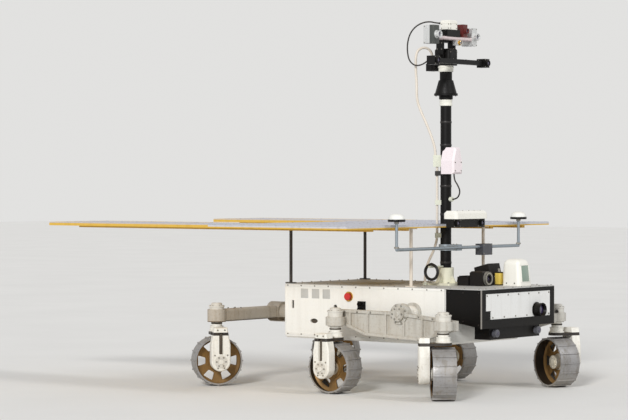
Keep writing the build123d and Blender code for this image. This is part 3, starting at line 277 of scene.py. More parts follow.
def weathered(name, colour, rough, metal=0.0, dust=0.5, splash=0.5, stain=0.25, grain=90, bump=0.12,
              bands=(), dustColour=sand, coat=0.0, specular=0.5):
    # paint or metal with stains, streaks, and dust on its upper faces and near the ground.
    # bands are (axis, from, to, colour): another colour in that slice
    material, tree, shader = newMaterial(name)
    where = addNode(tree, "ShaderNodeTexCoord").outputs["Object"]
    place = addNode(tree, "ShaderNodeSeparateXYZ", {0: where})
    base = addNode(tree, "ShaderNodeRGB")
    base.outputs[0].default_value = tint(colour)
    base = base.outputs[0]
    for axis, start, end, other in bands:
        inside = addNode(tree, "ShaderNodeMath", {0: place.outputs[axis], 1: (start + end) / 2,
                                                  2: (end - start) / 2}, operation='COMPARE').outputs[0]
        base = mixColour(tree, inside, base, tint(other))
    broad = noiseOf(tree, 3.5)
    fine = noiseOf(tree, grain, detail=8)
    streaks = noiseOf(tree, 1.0, (38, 38, 3), detail=5)
    darker = mixColour(tree, 1.0, base, (0.45, 0.40, 0.33, 1))
    darker.node.blend_type = 'MULTIPLY'
    worn = sumOf(tree, rampOf(tree, streaks, 0.5, 0.78), stain)
    worn = sumOf(tree, worn, sumOf(tree, rampOf(tree, fine, 0.55, 0.8), stain * 0.8), 'ADD')
    painted = mixColour(tree, worn, base, darker)
    normal = addNode(tree, "ShaderNodeNewGeometry").outputs["Normal"]
    rise = addNode(tree, "ShaderNodeSeparateXYZ", {0: normal}).outputs[2]
    upper = rampOf(tree, rise, 0.35, 0.95, 0.0, 0.75)
    lower = rampOf(tree, place.outputs[2], 0.0, splash, 1.0, 0.0)
    cover = sumOf(tree, sumOf(tree, upper, lower, 'MAXIMUM'), 0.18, 'ADD')
    patches = sumOf(tree, rampOf(tree, broad, 0.35, 0.68, 0.3, 1.0), rampOf(tree, fine, 0.3, 0.65, 0.55, 1.0))
    dusty = sumOf(tree, sumOf(tree, cover, patches), dust)
    dusty.node.use_clamp = True
    tree.links.new(mixColour(tree, dusty, painted, tint(dustColour)), shader.inputs["Base Color"])
    if metal:
        tree.links.new(rampOf(tree, dusty, 0.0, 0.8, metal, 0.0), shader.inputs["Metallic"])
    shine = sumOf(tree, rampOf(tree, fine, 0.3, 0.7, -0.08, 0.08), rough, 'ADD')
    tree.links.new(addNode(tree, "ShaderNodeMix", {0: dusty, 2: shine, 3: 0.92}).outputs[0],
                   shader.inputs["Roughness"])
    shader.inputs["Coat Weight"].default_value = coat
    shader.inputs["Specular IOR Level"].default_value = specular
    height = sumOf(tree, fine, sumOf(tree, broad, 0.6), 'ADD')
    lifted = addNode(tree, "ShaderNodeBump", {"Strength": bump, "Distance": 0.002, "Height": height})
    tree.links.new(lifted.outputs[0], shader.inputs["Normal"])
    return material


def glassy(name, colour, paintedSheen):  # dark coated lens glass with a coloured painted sheen towards grazing angles, and a little dust
    material, tree, shader = newMaterial(name)
    edge = addNode(tree, "ShaderNodeLayerWeight", {"Blend": 0.35}).outputs["Facing"]
    # painted sheen: the colour turns to the sheen colour towards grazing angles
    glassWithPaintedSheen = mixColour(tree, edge, tint(colour), tint(paintedSheen))
    specks = rampOf(tree, noiseOf(tree, 240, detail=4), 0.62, 0.75, 0.0, 0.25)
    tree.links.new(mixColour(tree, specks, glassWithPaintedSheen, tint(sand)), shader.inputs["Base Color"])
    tree.links.new(rampOf(tree, specks, 0.0, 0.25, 0.06, 0.5), shader.inputs["Roughness"])
    shader.inputs["Coat Weight"].default_value = 1.0
    shader.inputs["Coat Roughness"].default_value = 0.04
    return material


boardLow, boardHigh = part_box("solar_array")
stepX = boardHigh.x - 0.950  # where the array's wings begin
boardGrey = (2, boardHigh.z - 0.0085, boardHigh.z + 0.001, (196, 196, 200))
boardYellow, pivotWhite, trimGrey = (214, 172, 70), (232, 230, 222), (140, 136, 130)

paints = {  # colour, roughness and the other settings of weathered
    "legWhite": (white, 0.5, dict(dust=0.42, splash=0.3, stain=0.35, bands=[(2, 0.2865, 0.3035, black)])),
    "housingGrey": ((214, 212, 204), 0.5, dict(dust=0.4, splash=0.6, stain=0.35)),
    "bogieGrey": ((190, 188, 180), 0.5, dict(
        dust=0.4, splash=0.6, stain=0.6,
        bands=[(1, -0.447, -0.370, pivotWhite), (1, 0.370, 0.447, pivotWhite)])),
    # the dark brown band low on the rear bogie, z 0.340 to 0.362, is painted shade under the beam
    "rearBogie": ((178, 173, 163), 0.6, dict(
        dust=0.55, splash=0.6, stain=0.6, bands=[(2, 0.340, 0.362, (60, 52, 44))])),
    "bodyWhite": ((240, 239, 233), 0.42, dict(dust=0.3, splash=0.4, stain=0.1)),
    "deckGrey": ((184, 184, 181), 0.5, dict(dust=0.18, splash=0.3, stain=0.3)),
    "noseBlack": ((8, 8, 10), 0.42, dict(dust=0.04, splash=0.42, stain=0.1, specular=0.2)),
    "panelPale": ((230, 230, 227), 0.35, dict(
        dust=0.15, splash=0.4, stain=0.15, bands=[(1, -0.36, -0.335, trimGrey), (1, 0.335, 0.36, trimGrey)])),
    "bayGrey": ((92, 94, 102), 0.4, dict(metal=0.3, dust=0.1, stain=0.2)),
    "cameraPaintedShade": ((66, 70, 68), 0.42, dict(dust=0.12, stain=0.2)),
    "footPale": ((220, 218, 196), 0.5, dict(dust=0.3)),
    "mastBlack": ((12, 12, 14), 0.45, dict(dust=0.05, stain=0.1, specular=0.2)),
    "ringPale": ((232, 230, 218), 0.4, dict(dust=0.15, stain=0.1)),
    "headBlack": ((16, 17, 19), 0.4, dict(dust=0.07, stain=0.1, specular=0.25)),
    "benchMetal": ((222, 206, 206), 0.42, dict(metal=0.25, dust=0.2, stain=0.15)),
    "cameraSilver": ((214, 215, 214), 0.34, dict(metal=0.5, dust=0.12, stain=0.15)),
    "cameraRed": ((92, 34, 34), 0.4, dict(dust=0.15, stain=0.2)),
    "boxWhite": ((240, 238, 228), 0.4, dict(dust=0.2, stain=0.1)),
    "unitDark": ((20, 19, 21), 0.5, dict(dust=0.1, stain=0.2, specular=0.25)),
    "unitYellow": ((218, 190, 88), 0.45, dict(dust=0.2, stain=0.2)),
    "arrayGrey": ((182, 185, 198), 0.38, dict(dust=0.25, stain=0.12, grain=60)),
    "arrayEdge": ((206, 206, 206), 0.4, dict(metal=0.3, dust=0.2, stain=0.2)),
    "arrayYellow": (boardYellow, 0.5, dict(
        dust=0.15, bands=[boardGrey, (0, boardLow.x - 0.01, stepX, boardYellow)])),
    "postDark": ((58, 56, 54), 0.45, dict(dust=0.2, stain=0.2, bands=[(0, 0.76, 0.9, (214, 204, 190))])),
    "barMetal": ((150, 160, 168), 0.34, dict(
        metal=0.7, dust=0.2, stain=0.2, bands=[(1, 0.186, 0.284, (88, 90, 96))])),
    "antennaWhite": ((234, 234, 228), 0.5, dict(dust=0.3, stain=0.1)),
    "receiverPale": ((238, 226, 228), 0.45, dict(dust=0.12, stain=0.12)),
    "clipWhite": ((214, 216, 198), 0.5, dict(dust=0.2, stain=0.15, bands=[(2, 1.17, 1.21, black)])),
    "cableWhite": ((226, 216, 202), 0.55, dict(dust=0.25, stain=0.3, grain=300, bump=0.25)),
    "cableBlack": ((24, 23, 22), 0.5, dict(dust=0.18, stain=0.1, grain=300, bump=0.25)),
    "treadMetal": ((150, 150, 152), 0.42, dict(
        metal=0.6, dust=0.5, splash=0.42, stain=0.8, dustColour=(160, 146, 122))),
    "discGold": ((134, 100, 54), 0.4, dict(
        metal=0.6, dust=0.45, splash=0.36, stain=0.8, dustColour=(150, 124, 86))),
    # near-black painted shade for the rim's inner barrel and the walls of the disc windows
    "rimPaintedShade": ((26, 22, 18), 0.5, dict(
        metal=0.3, dust=0.3, splash=0.35, stain=0.4, dustColour=(96, 78, 56))),
    "hubBright": ((222, 216, 200), 0.28, dict(metal=0.8, dust=0.25, splash=0.3, stain=0.3)),
    "boltSteel": ((150, 148, 142), 0.32, dict(metal=0.85, dust=0.3, stain=0.3)),
    "boltBlack": ((36, 36, 38), 0.4, dict(metal=0.4, dust=0.2, stain=0.2)),
    # dark grey for ribs, seals and sockets, and as painted shade at the bottom of slots and wells
    "darkPartsAndShade": ((44, 42, 40), 0.6, dict(dust=0.3, stain=0.3)),
    "buttonRed": ((196, 34, 34), 0.35, dict(dust=0.15, stain=0.15, coat=0.3)),
    "badgeGrey": ((190, 190, 186), 0.5, dict(dust=0.25, stain=0.2)),
    "lensGold": ((214, 170, 78), 0.25, dict(metal=0.9, dust=0.1, stain=0.15)),
}
finishes = {name: weathered(name, colour, rough, **more) for name, (colour, rough, more) in paints.items()}
# each glass's second colour is a painted sheen, mixed in towards grazing angles
finishes["lensGlass"] = glassy("lensGlass", (14, 16, 26), (70, 50, 110))
finishes["windowGlass"] = glassy("windowGlass", (112, 132, 118), (150, 168, 150))
print("finishes ready:", len(finishes))

nodesOf = {
    "housingGrey": "steering_housings", "bogieGrey": "bogie_right bogie_left", "rearBogie": "bogie_rear",
    "bodyWhite": "body_shell", "deckGrey": "deck_plate", "panelPale": "nose_panel",
    "noseBlack": "nose_box nose_bay nose_cameras side_fittings", "footPale": "mast_foot",
    "mastBlack": "mast_tube mast_head_base", "receiverPale": "mast_box", "clipWhite": "mast_clips",
    "ringPale": "pan_ring", "headBlack": "pan_box nav_bar tilt_fork head_computer loc_camera",
    "benchMetal": "camera_bench", "cameraSilver": "wide_cameras", "cameraRed": "long_camera",
    "boxWhite": "head_electronics loc_cover dome_unit", "arrayYellow": "solar_array",
    "arrayGrey": "array_skin", "postDark": "array_posts", "barMetal": "cross_bar",
    "antennaWhite": "antennas", "unitDark": "deck_units",
    "cableWhite": "mast_cable_lower mast_cable_upper", "cableBlack": "head_cable receiver_cable cable_coil",
}
nodeFinish = {node: finish for finish, nodes in nodesOf.items() for node in nodes.split()}
for node, thing in frame["nodes"].items():
    paint(thing, nodeFinish.get(node) or ("legWhite" if node.startswith("leg_") else "treadMetal"))

# Camera at the photograph's viewing angle, and the light

view = {"place": (8.4375, -10.8, 1.15), "aim": (0.03, -0.21, 0.985), "lens": 138, "sensor": 36,
        "reach": 200}
studio = {"sun": 2.15, "sunAngle": 12, "sunFrom": (0.40, -1.0, 0.50), "fill": 0.65,
          "fillFrom": (1.0, 0.1, 0.9), "world": 0.5, "backdrop": 0.76, "floor": 80,
          "floorTones": ((227, 225, 220), (231, 229, 224))}


def aimed(name, data, direction, axis):
    thing = bpy.data.objects.new(name, data)
    thing.rotation_mode = 'QUATERNION'
    thing.rotation_quaternion = Vector(direction).to_track_quat(axis, 'Y')
    bpy.context.collection.objects.link(thing)
    return thing


cameraData = bpy.data.cameras.new("camera")
cameraData.lens = view["lens"]
cameraData.sensor_width = view["sensor"]
cameraData.clip_end = view["reach"]
camera = aimed("camera", cameraData, Vector(view["aim"]) - Vector(view["place"]), '-Z')
camera.location = view["place"]
bpy.context.scene.camera = camera
for name, strength, source in (("key", studio["sun"], studio["sunFrom"]),
                               ("fill", studio["fill"], studio["fillFrom"])):
    lampData = bpy.data.lights.new(name, 'SUN')
    lampData.energy = strength
    lampData.angle = radians(studio["sunAngle"])
    aimed(name, lampData, source, 'Z')

world = bpy.data.worlds.new("studio")
bpy.context.scene.world = world
world.use_nodes = True
sky = world.node_tree
ray = addNode(sky, "ShaderNodeLightPath")
seen = sumOf(sky, sumOf(sky, ray.outputs["Is Camera Ray"], ray.outputs["Is Glossy Ray"], 'MAXIMUM'),
             ray.outputs["Is Transmission Ray"], 'MAXIMUM')
backdrop = sky.nodes["Background"]
sky.links.new(mixColour(sky, seen, (0.93, 0.95, 1.0, 1), (1.0, 0.995, 0.98, 1)), backdrop.inputs["Color"])
sky.links.new(rampOf(sky, seen, 0, 1, studio["world"], studio["backdrop"]), backdrop.inputs["Strength"])

deselectAll()
bpy.ops.mesh.primitive_grid_add(x_subdivisions=8, y_subdivisions=8, size=studio["floor"])
floor = bpy.context.object
floor.name = "floor"
floorPaint, tree, shader = newMaterial("floorPale")
darkTone, lightTone = studio["floorTones"]
ground = mixColour(tree, rampOf(tree, noiseOf(tree, 1.2), 0.3, 0.7), tint(darkTone), tint(lightTone))
tree.links.new(ground, shader.inputs["Base Color"])
shader.inputs["Roughness"].default_value = 0.9
floor.data.materials.append(floorPaint)
floor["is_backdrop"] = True
bpy.context.scene.view_settings.view_transform = 'Standard'
print("camera, light and floor ready")

# Cables on the mast and the head, with the same routes as their solids

mast = middle("mast_tube")
bundle = {"diameter": 0.014, "angle": radians(217), "turnsFrom": 1.330, "turnsTo": 1.760,
          "gland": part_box("pan_box")[0].x + 0.028}
leadDiameter = 0.008


def atMast(height):
    return Matrix.Translation((mast.x, 0, height))


def besideMast(offset, height):  # on the side of the mast where the bundle runs
    return Vector((mast.x + cos(bundle["angle"]) * offset, sin(bundle["angle"]) * offset, height))


def fromMast(ahead, side, height):
    return Vector((mast.x + ahead, side, height))


def drawCord(name, points, diameter, finish):  # a smooth curve, the line that it follows and its length
    curve = bpy.data.curves.new(name, 'CURVE')
    curve.dimensions = '3D'
    curve.resolution_u = 12
    spline = curve.splines.new('NURBS')
    spline.points.add(len(points) - 1)
    for knot, point in zip(spline.points, points):
        knot.co = (*point, 1)
    spline.order_u = 3
    spline.use_endpoint_u = True
    piece = bpy.data.objects.new(name, curve)
    bpy.context.collection.objects.link(piece)
    line = bpy.data.meshes.new_from_object(piece)
    path = [vertex.co.copy() for vertex in line.vertices]
    bpy.data.meshes.remove(line)
    length = sum((end - start).length for start, end in zip(path, path[1:]))
    curve.bevel_depth = diameter / 2
    curve.bevel_resolution = 6
    curve.use_fill_caps = True
    curve.materials.append(finishes[finish])
    print(name, "length", round(length, 3))
    return piece, path, length


def runCord(name, points, diameter, finish, body, node):
    piece, path, length = drawCord(name, points, diameter, finish)
    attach(piece, body)
    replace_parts(piece, node)


runCord("bundleLower", [
    besideMast(0.114, 0.593), besideMast(0.114, 0.645), besideMast(0.096, 0.705), besideMast(0.066, 0.765),
    besideMast(0.048, 0.825), besideMast(0.048, 0.888), besideMast(0.048, 1.226),
], bundle["diameter"], "cableWhite", "chassis", "mast_cable_lower")
upperRoute = [
    besideMast(0.058, 1.290), besideMast(0.058, 1.325), besideMast(0.080, 1.395), besideMast(0.110, 1.470),
    besideMast(0.140, 1.535), besideMast(0.160, 1.595), besideMast(0.160, 1.6804),
    fromMast(-0.133, -0.099, 1.755), fromMast(-0.133, -0.099, 1.849), fromMast(-0.118, -0.072, 1.880),
    fromMast(-0.098, -0.035, 1.880), Vector((bundle["gland"], -0.008, 1.849)),
    Vector((bundle["gland"], -0.008, 1.8094)),
]
drawn, path, length = drawCord("upperCurve", upperRoute, bundle["diameter"], "cableWhite")
upper = bpy.data.objects.new("bundleUpper", bpy.data.meshes.new_from_object(drawn))
bpy.context.collection.objects.link(upper)
bpy.data.objects.remove(drawn)
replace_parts(upper, "mast_cable_lower", "mast_cable_upper")
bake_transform(upper)
runCord("headLead", [
    fromMast(-0.001, -0.034, 2.012), fromMast(-0.032, -0.034, 2.012), fromMast(-0.072, -0.066, 2.024),
    fromMast(-0.118, -0.100, 2.006), fromMast(-0.150, -0.122, 1.966), fromMast(-0.166, -0.130, 1.912),
    fromMast(-0.166, -0.132, 1.856), fromMast(-0.154, -0.131, 1.806), fromMast(-0.118, -0.124, 1.777),
    fromMast(-0.076, -0.104, 1.786), fromMast(-0.044, -0.072, 1.8284), fromMast(-0.014, -0.072, 1.8284),
], leadDiameter, "cableBlack", "camera_head", "head_cable")
runCord("receiverLead", [
    fromMast(0.066, -0.016, 1.186), fromMast(0.066, -0.016, 1.156), fromMast(0.088, -0.012, 1.126),
    fromMast(0.100, -0.006, 1.092), fromMast(0.084, 0, 1.060), fromMast(0.059, 0, 1.048),
    fromMast(0.046, 0, 1.048),
], leadDiameter, "cableBlack", "chassis", "receiver_cable")
print("cables ready")


# Bolts

def boltHead(size, edges=6):  # a washer and a head with a socket, on +Z
    half = size / 2
    washer = turned("washer", [(-0.0005, half * 1.4), (size * 0.12, half * 1.4)], 16)
    head = turned("head", [(0, half), (size * 0.52, half), (size * 0.6, half * 0.86),
                           (size * 0.6, half * 0.5), (size * 0.3, half * 0.5)], edges)
    return joined("bolt", [washer, head])


def boltSet(name, spots, size, body="chassis", edges=6, finish="boltSteel"):
    seats = [placed(point, direction, (0, 1, 0) if abs(direction[2]) > 0.9 else up)
             for point, direction in spots]
    finishPiece(joined(name, copiesOf(boltHead(size, edges), seats)), finish, body)


def screwSet(name, spots, size, body="chassis", finish="boltSteel"):  # with round heads
    boltSet(name, spots, size, body, 12, finish)


# Wheels: a lugged rim with a dished disc, cut windows and a bright hub, with painted shade inside the rim and
# on the window walls

legNames = [name[5:] for name in joints if name.startswith("spin_")]
wheel = {
    "profile": [
        (-0.029, 0.012), (-0.029, 0.0205), (-0.0282, 0.022), (-0.0265, 0.022), (-0.0265, 0.034),
        (-0.024, 0.038), (0.004, 0.038), (0.0105, 0.046), (0.012, 0.056), (0.012, 0.112), (0.009, 0.122),
        (0.002, 0.1295), (-0.052, 0.1300), (-0.057, 0.1262), (-0.062, 0.1258), (-0.062, 0.1340),
        (-0.059, 0.1350), (-0.030, 0.1352), (0.030, 0.1352), (0.059, 0.1350), (0.062, 0.1340),
        (0.062, 0.1258), (0.057, 0.1262), (0.052, 0.1300), (0.028, 0.1298), (0.020, 0.122), (0.018, 0.112),
        (0.018, 0.0565), (0.0222, 0.0560), (0.0230, 0.0550), (0.0230, 0.0392), (0.0290, 0.0380),
        (0.0300, 0.036), (0.0300, 0.0158), (0.0100, 0.0158)],
    "segments": 96, "lugs": 16, "lugFrom": 0.1335, "lugTo": 0.1400, "lugWidth": 0.0082, "lugHalf": 0.0615,
    "lugEdge": 0.0014, "windows": 6, "windowAt": 0.089, "windowInner": 0.017, "windowOuter": 0.029,
    "windowDepth": 0.021, "windowEdge": 0.006, "rivets": 24, "rivetCircle": 0.1175,
    "rivet": [(-0.001, 0.0026), (0.0008, 0.0026), (0.0016, 0.0016)],
    "rivetFaces": ((0.0175, 1), (0.0125, -1)),
    "hubBolts": 6, "hubCircle": 0.0285, "hubFace": -0.0265, "hubBolt": 0.006,
    "treadFrom": 0.1325, "rimFace": 0.0555, "rimFrom": 0.1285, "discFrom": 0.044, "cutFrom": 0.06}


def wheelMatrix(corner):  # at the wheel's centre, X up and Z away from the rover
    joint = joints["spin_" + corner]
    return placed(joint["pos_m"], Vector(joint["axis"]) * sides[corner.split("_")[1]])


def windowCutter():
    at, height = wheel["windowAt"], 0.015
    bpy.ops.mesh.primitive_cube_add(size=2, location=(at, 0, height),
                                    scale=(wheel["windowDepth"], wheel["windowInner"], 2 * height))
    cutter = bpy.context.object
    freeze(cutter)
    bpy.ops.object.mode_set(mode='EDIT')
    bpy.ops.mesh.select_mode(type='FACE')
    bpy.ops.mesh.select_all(action='DESELECT')
    edited = bmesh.from_edit_mesh(cutter.data)
    for face in edited.faces:
        if face.normal.x > 0.9:
            face.select_set(True)
    bmesh.update_edit_mesh(cutter.data)
    bpy.ops.transform.resize(value=(1, wheel["windowOuter"] / wheel["windowInner"], 1),
                             center_override=(at, 0, height))
    bpy.ops.object.mode_set(mode='OBJECT')
    bevelEdges(cutter, wheel["windowEdge"], 4)
    return cutter


def roundAxis(count, start=0):  # turns about Z, evenly spaced
    return [Matrix.Rotation(2 * pi * (number + start) / count, 4, 'Z') for number in range(count)]


def makeWheel():
    rim = turned("rim", wheel["profile"], wheel["segments"])
    for hole in copiesOf(windowCutter(), roundAxis(wheel["windows"], 0.5)):
        cut = rim.modifiers.new("window", 'BOOLEAN')
        cut.object = hole
        applyModifiers(rim)
        bpy.data.objects.remove(hole)
    lug = block("lug", (wheel["lugFrom"], -wheel["lugWidth"] / 2, -wheel["lugHalf"]),
                (wheel["lugTo"], wheel["lugWidth"] / 2, wheel["lugHalf"]), wheel["lugEdge"])
    seats = [placed((x, y, height), (0, 0, way), front) for height, way in wheel["rivetFaces"]
             for x, y in around(wheel["rivets"], wheel["rivetCircle"], 180 / wheel["rivets"])]
    rivets = copiesOf(turned("rivet", wheel["rivet"], 8), seats)
    seats = [placed((x, y, wheel["hubFace"]), (0, 0, -1), front)
             for x, y in around(wheel["hubBolts"], wheel["hubCircle"])]
    bolts = copiesOf(boltHead(wheel["hubBolt"]), seats)
    whole = joined("wheel", [rim] + copiesOf(lug, roundAxis(wheel["lugs"])) + rivets + bolts)
    paint(whole, "treadMetal", "rimPaintedShade", "discGold", "hubBright")
    for face in whole.data.polygons:
        reach = Vector(face.center[:2]).length
        if reach > wheel["treadFrom"] or abs(face.center.z) > wheel["rimFace"]:
            face.material_index = 0
        # faces inside the rim and on the window walls take the near-black painted shade
        elif reach > wheel["rimFrom"] or abs(face.normal.z) < 0.3 and reach > wheel["cutFrom"]:
            face.material_index = 1
        else:
            face.material_index = 2 if reach > wheel["discFrom"] else 3
    return whole


pattern = makeWheel()
for corner in legNames:
    rim = copyTo(pattern, wheelMatrix(corner), "wheel_" + corner + "_rim")
    rideOn(rim, "wheel_" + corner)
    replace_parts(rim, "wheel_" + corner)
bpy.data.objects.remove(pattern)
print("wheels ready")

# Legs and steering units: covers, caps, bolts, and dark pads in the slots as painted shade

leg = {"face": 0.130, "slotRise": 0.100, "slotHalf": 0.058, "slotWidth": 0.018, "coverRadius": 0.036,
       "driveRibs": (0.044, 0.052, 0.060, 0.068), "bolt": 0.007, "coverBolts": 0.0262,
       "plateBolts": ((0.176, 0.020), (0.036, 0.036), (-0.036, 0.018))}
swivel = {
    "collar": [(0.3035, 0.0385), (0.3035, 0.0420), (0.3075, 0.0432), (0.3105, 0.0432), (0.3115, 0.0385),
               (0.3115, 0.0372), (0.3280, 0.0372), (0.3280, 0.0392), (0.3330, 0.0392), (0.3340, 0.0370)],
    "seal": [(0.3455, 0.0294), (0.3455, 0.0312), (0.3495, 0.0318), (0.3535, 0.0312), (0.3535, 0.0294)],
    "bolt": 0.006, "boltCircle": 0.0395, "boltHeight": 0.3022}
housing = {
    "lid": [(0.4600, 0.0270), (0.4622, 0.0270), (0.4632, 0.0255), (0.4632, 0.012), (0.4615, 0.011)],
    "band": [(0.3800, 0.0405), (0.3800, 0.0425), (0.3820, 0.0432), (0.3900, 0.0432), (0.3920, 0.0425),
             (0.3920, 0.0405)],
    "socket": [(0, 0.0085), (0.004, 0.0085), (0.004, 0.0070), (0.016, 0.0070), (0.016, 0.0086),
               (0.022, 0.0086), (0.023, 0.0078), (0.023, 0.004), (0.018, 0.0036)],
    "socketAt": (0.0400, 0, 0.425), "socketTurn": 35,
    "bolt": 0.006, "boltCircle": 0.0365, "boltHeight": 0.4480}


def makeLegTrim():
    face, radius, rise = leg["face"], leg["coverRadius"], leg["slotRise"]
    cover = turned("cover", [(face - 0.001, radius), (face + 0.0016, radius), (face + 0.0024, radius - 0.001),
                             (face + 0.0024, 0.018), (face + 0.0010, 0.0165), (face + 0.0010, 0.0142),
                             (face + 0.0046, 0.0142), (face + 0.0049, 0.0128), (face + 0.0049, 0.006),
                             (face + 0.0030, 0.0052)])
    # a dark pad at the bottom of the leg's slot: painted shade
    slotShadePad = block("slotShadePad", (rise - leg["slotHalf"], -leg["slotWidth"] / 2, face - 0.0095),
                (rise + leg["slotHalf"], leg["slotWidth"] / 2, face - 0.0068), 0.0012)
    ribs = [turned("rib", [(height - 0.0016, 0.0326), (height - 0.0012, 0.0350), (height + 0.0012, 0.0350),
                           (height + 0.0016, 0.0326)], 40) for height in leg["driveRibs"]]
    spots = [(x, y, face + 0.0022) for x, y in around(6, leg["coverBolts"], 30)]
    spots += [(x, side * y, face - 0.0002) for x, y in leg["plateBolts"] for side in both]
    bolts = copiesOf(boltHead(leg["bolt"]), [placed(spot, up, front) for spot in spots])
    return trimOf("legTrim", {"housingGrey": [cover], "darkPartsAndShade": [slotShadePad] + ribs, "boltSteel": bolts})


def uprightBolts(unit, count, start):  # on a circle round Z, heads up
    return copiesOf(boltHead(unit["bolt"]), [Matrix.Translation((x, y, unit["boltHeight"]))
                                             for x, y in around(count, unit["boltCircle"], start)])


def makeSwivelTrim():  # round the swivel over the yoke, on +Z from the ground
    return trimOf("swivelTrim", {"legWhite": [turned("collar", swivel["collar"])],
                                 "darkPartsAndShade": [turned("seal", swivel["seal"], 40)],
                                 "boltSteel": uprightBolts(swivel, 4, 45)})


def makeHousingTrim():  # lid and connector of the steering housing, on +Z from the ground
    socket = turned("socket", housing["socket"], 24, placed(housing["socketAt"], front))
    return trimOf("housingTrim", {"housingGrey": [turned("lid", housing["lid"], 40)],
                                  "darkPartsAndShade": [turned("band", housing["band"]), socket],
                                  "boltSteel": uprightBolts(housing, 6, 30)})


legTrim, swivelTrim, housingTrim = makeLegTrim(), makeSwivelTrim(), makeHousingTrim()
housings = []
for corner in legNames:
    spot = joints["steer_" + corner]["pos_m"]
    foot = Matrix.Translation((spot[0], spot[1], 0))
    outward = wheelMatrix(corner).to_3x3().col[2].to_2d()
    towards = Matrix.Rotation(-Vector((1, 0)).angle_signed(outward), 4, 'Z')
    parts = [copyTo(legTrim, wheelMatrix(corner)), copyTo(swivelTrim, foot @ towards)]
    rideOn(joined("leg_" + corner + "_trim", parts), "leg_" + corner)
    angle = housing["socketTurn"] - 90 * sides[corner.split("_")[1]]
    housings.append(copyTo(housingTrim, foot @ Matrix.Rotation(radians(angle), 4, 'Z')))
rideOn(joined("housing_trim", housings))
for part in (legTrim, swivelTrim, housingTrim):
    bpy.data.objects.remove(part)
print("legs and steering ready")

# Bogies: covers over their pivots, and bolts

bogie = {"pivotAhead": 0.040, "pivotSide": 0.5040, "pivotHeight": 0.440, "face": 0.4922, "bolt": 0.0085,
         "cap": [(-0.001, 0.0392), (0.0012, 0.0392), (0.0022, 0.0380), (0.0022, 0.0240), (0.0012, 0.0230),
                 (0.0012, 0.0150), (0.0060, 0.0150), (0.0068, 0.0138), (0.0068, 0.0060), (0.0050, 0.0050)],
         "capCircle": 0.0310, "bossCircle": 0.0480,
         "rearEnd": ((0.075, 0.442), (0.16, 0.442), (0.25, 0.442)),
         "frontEnd": ((0.080, 0.412), (0.16, 0.420), (0.25, 0.429))}
rearBogie = {"height": 0.392, "top": 0.4268, "bolt": 0.0095, "boltsAhead": 0.022, "boltsOut": (0.36, 0.42),
             "flange": 0.014, "flangeCircle": 0.0640, "capBehind": 0.0448,
             "cap": [(0, 0.040), (0.0020, 0.040), (0.0032, 0.0385), (0.0032, 0.022), (0.0022, 0.021),
                     (0.0022, 0.012), (0.0060, 0.012), (0.0066, 0.011)]}
for name, side in sides.items():
    low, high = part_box("bogie_" + name)
    pivot = fromMast(bogie["pivotAhead"], side * bogie["pivotSide"], bogie["pivotHeight"])
    out, face = (0, side, 0), side * bogie["face"]
    cap = turned("bogie_" + name + "_cap", bogie["cap"], 56, placed(pivot, out))
    finishPiece(cap, "bogieGrey")
    spots = [(pivot.x + x, pivot.y + side * 0.0020, pivot.z + z) for x, z in around(6, bogie["capCircle"])]
    spots += [(pivot.x + x, face, pivot.z + z) for x, z in around(8, bogie["bossCircle"], 22.5)]
    spots += [(low.x + x, face, z) for x, z in bogie["rearEnd"]]
    spots += [(high.x - x, face, z) for x, z in bogie["frontEnd"]]
    boltSet("bogie_" + name + "_bolts", facing(out, spots), bogie["bolt"])
rearX = joints["steer_rear_right"]["pos_m"][0]
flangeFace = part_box("bogie_rear")[1].x - rearBogie["flange"]
ahead = rearBogie["boltsAhead"]
spots = facing(up, [(rearX + x, side * y, rearBogie["top"]) for side in both for x in (-ahead, ahead)
                    for y in rearBogie["boltsOut"]])
spots += facing(back, [(flangeFace + 0.0002, y, rearBogie["height"] + z)
                       for y, z in around(6, rearBogie["flangeCircle"], 30)])
boltSet("bogie_rear_bolts", spots, rearBogie["bolt"])
# the rear cap takes this paint too, so its lower part carries the band of painted shade
seat = placed((rearX - rearBogie["capBehind"], 0, rearBogie["height"]), back)
finishPiece(turned("bogie_rear_cap", rearBogie["cap"], 48, seat), "rearBogie")
print("bogies ready")

# Body: rails, screws, blank plates, dark well bottoms as painted shade in the openings, stop button and
# connector

bodyLow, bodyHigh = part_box("body_shell")
deckLow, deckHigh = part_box("deck_plate")
noseLow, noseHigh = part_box("nose_box")
rightSide, shellTop = bodyLow.y, bodyHigh.z
rightward = (0, -1, 0)
body = {"railHeight": 0.013, "railWidth": 0.015, "railProud": 0.0016, "railLift": 0.016, "railEdge": 0.0007,
        "screw": 0.0062, "screwStep": 0.09, "plate": 0.052, "plates": (-0.707, -0.629, -0.553),
        "plateHeight": 0.524, "wellDepth": 0.0108,
        "wells": {"slot": (-0.790, 0.112, 0.0155, 0.0435), "oval": (-0.640, 0.200, 0.0515, 0.0255),
                  "round": (-0.490, 0.118, 0.0255, 0.0255)},
        "well": [(0, 0.5), (0.0012, 0.5), (0.0012, 0.40), (0.0004, 0.38)]}
rearCover = {"drop": 0.058, "across": 0.246, "rise": 0.034, "screws": 6}

rails = []
for side in both:
    near, far = sorted((side * (bodyHigh.y - 0.001), side * (bodyHigh.y + body["railProud"])))
    for bottom in (shellTop - body["railHeight"], bodyLow.z + body["railLift"]):
        rails.append(block("rail", (deckLow.x + 0.004, near, bottom),
                           (noseLow.x - 0.002, far, bottom + body["railHeight"]), body["railEdge"]))
    for x in (deckLow.x + 0.004, noseLow.x - 0.017):
        rails.append(block("post", (x, near, bodyLow.z + 0.030),
                           (x + body["railWidth"], far, shellTop - 0.014), body["railEdge"]))
finishPiece(joined("body_rails", rails), "bodyWhite")

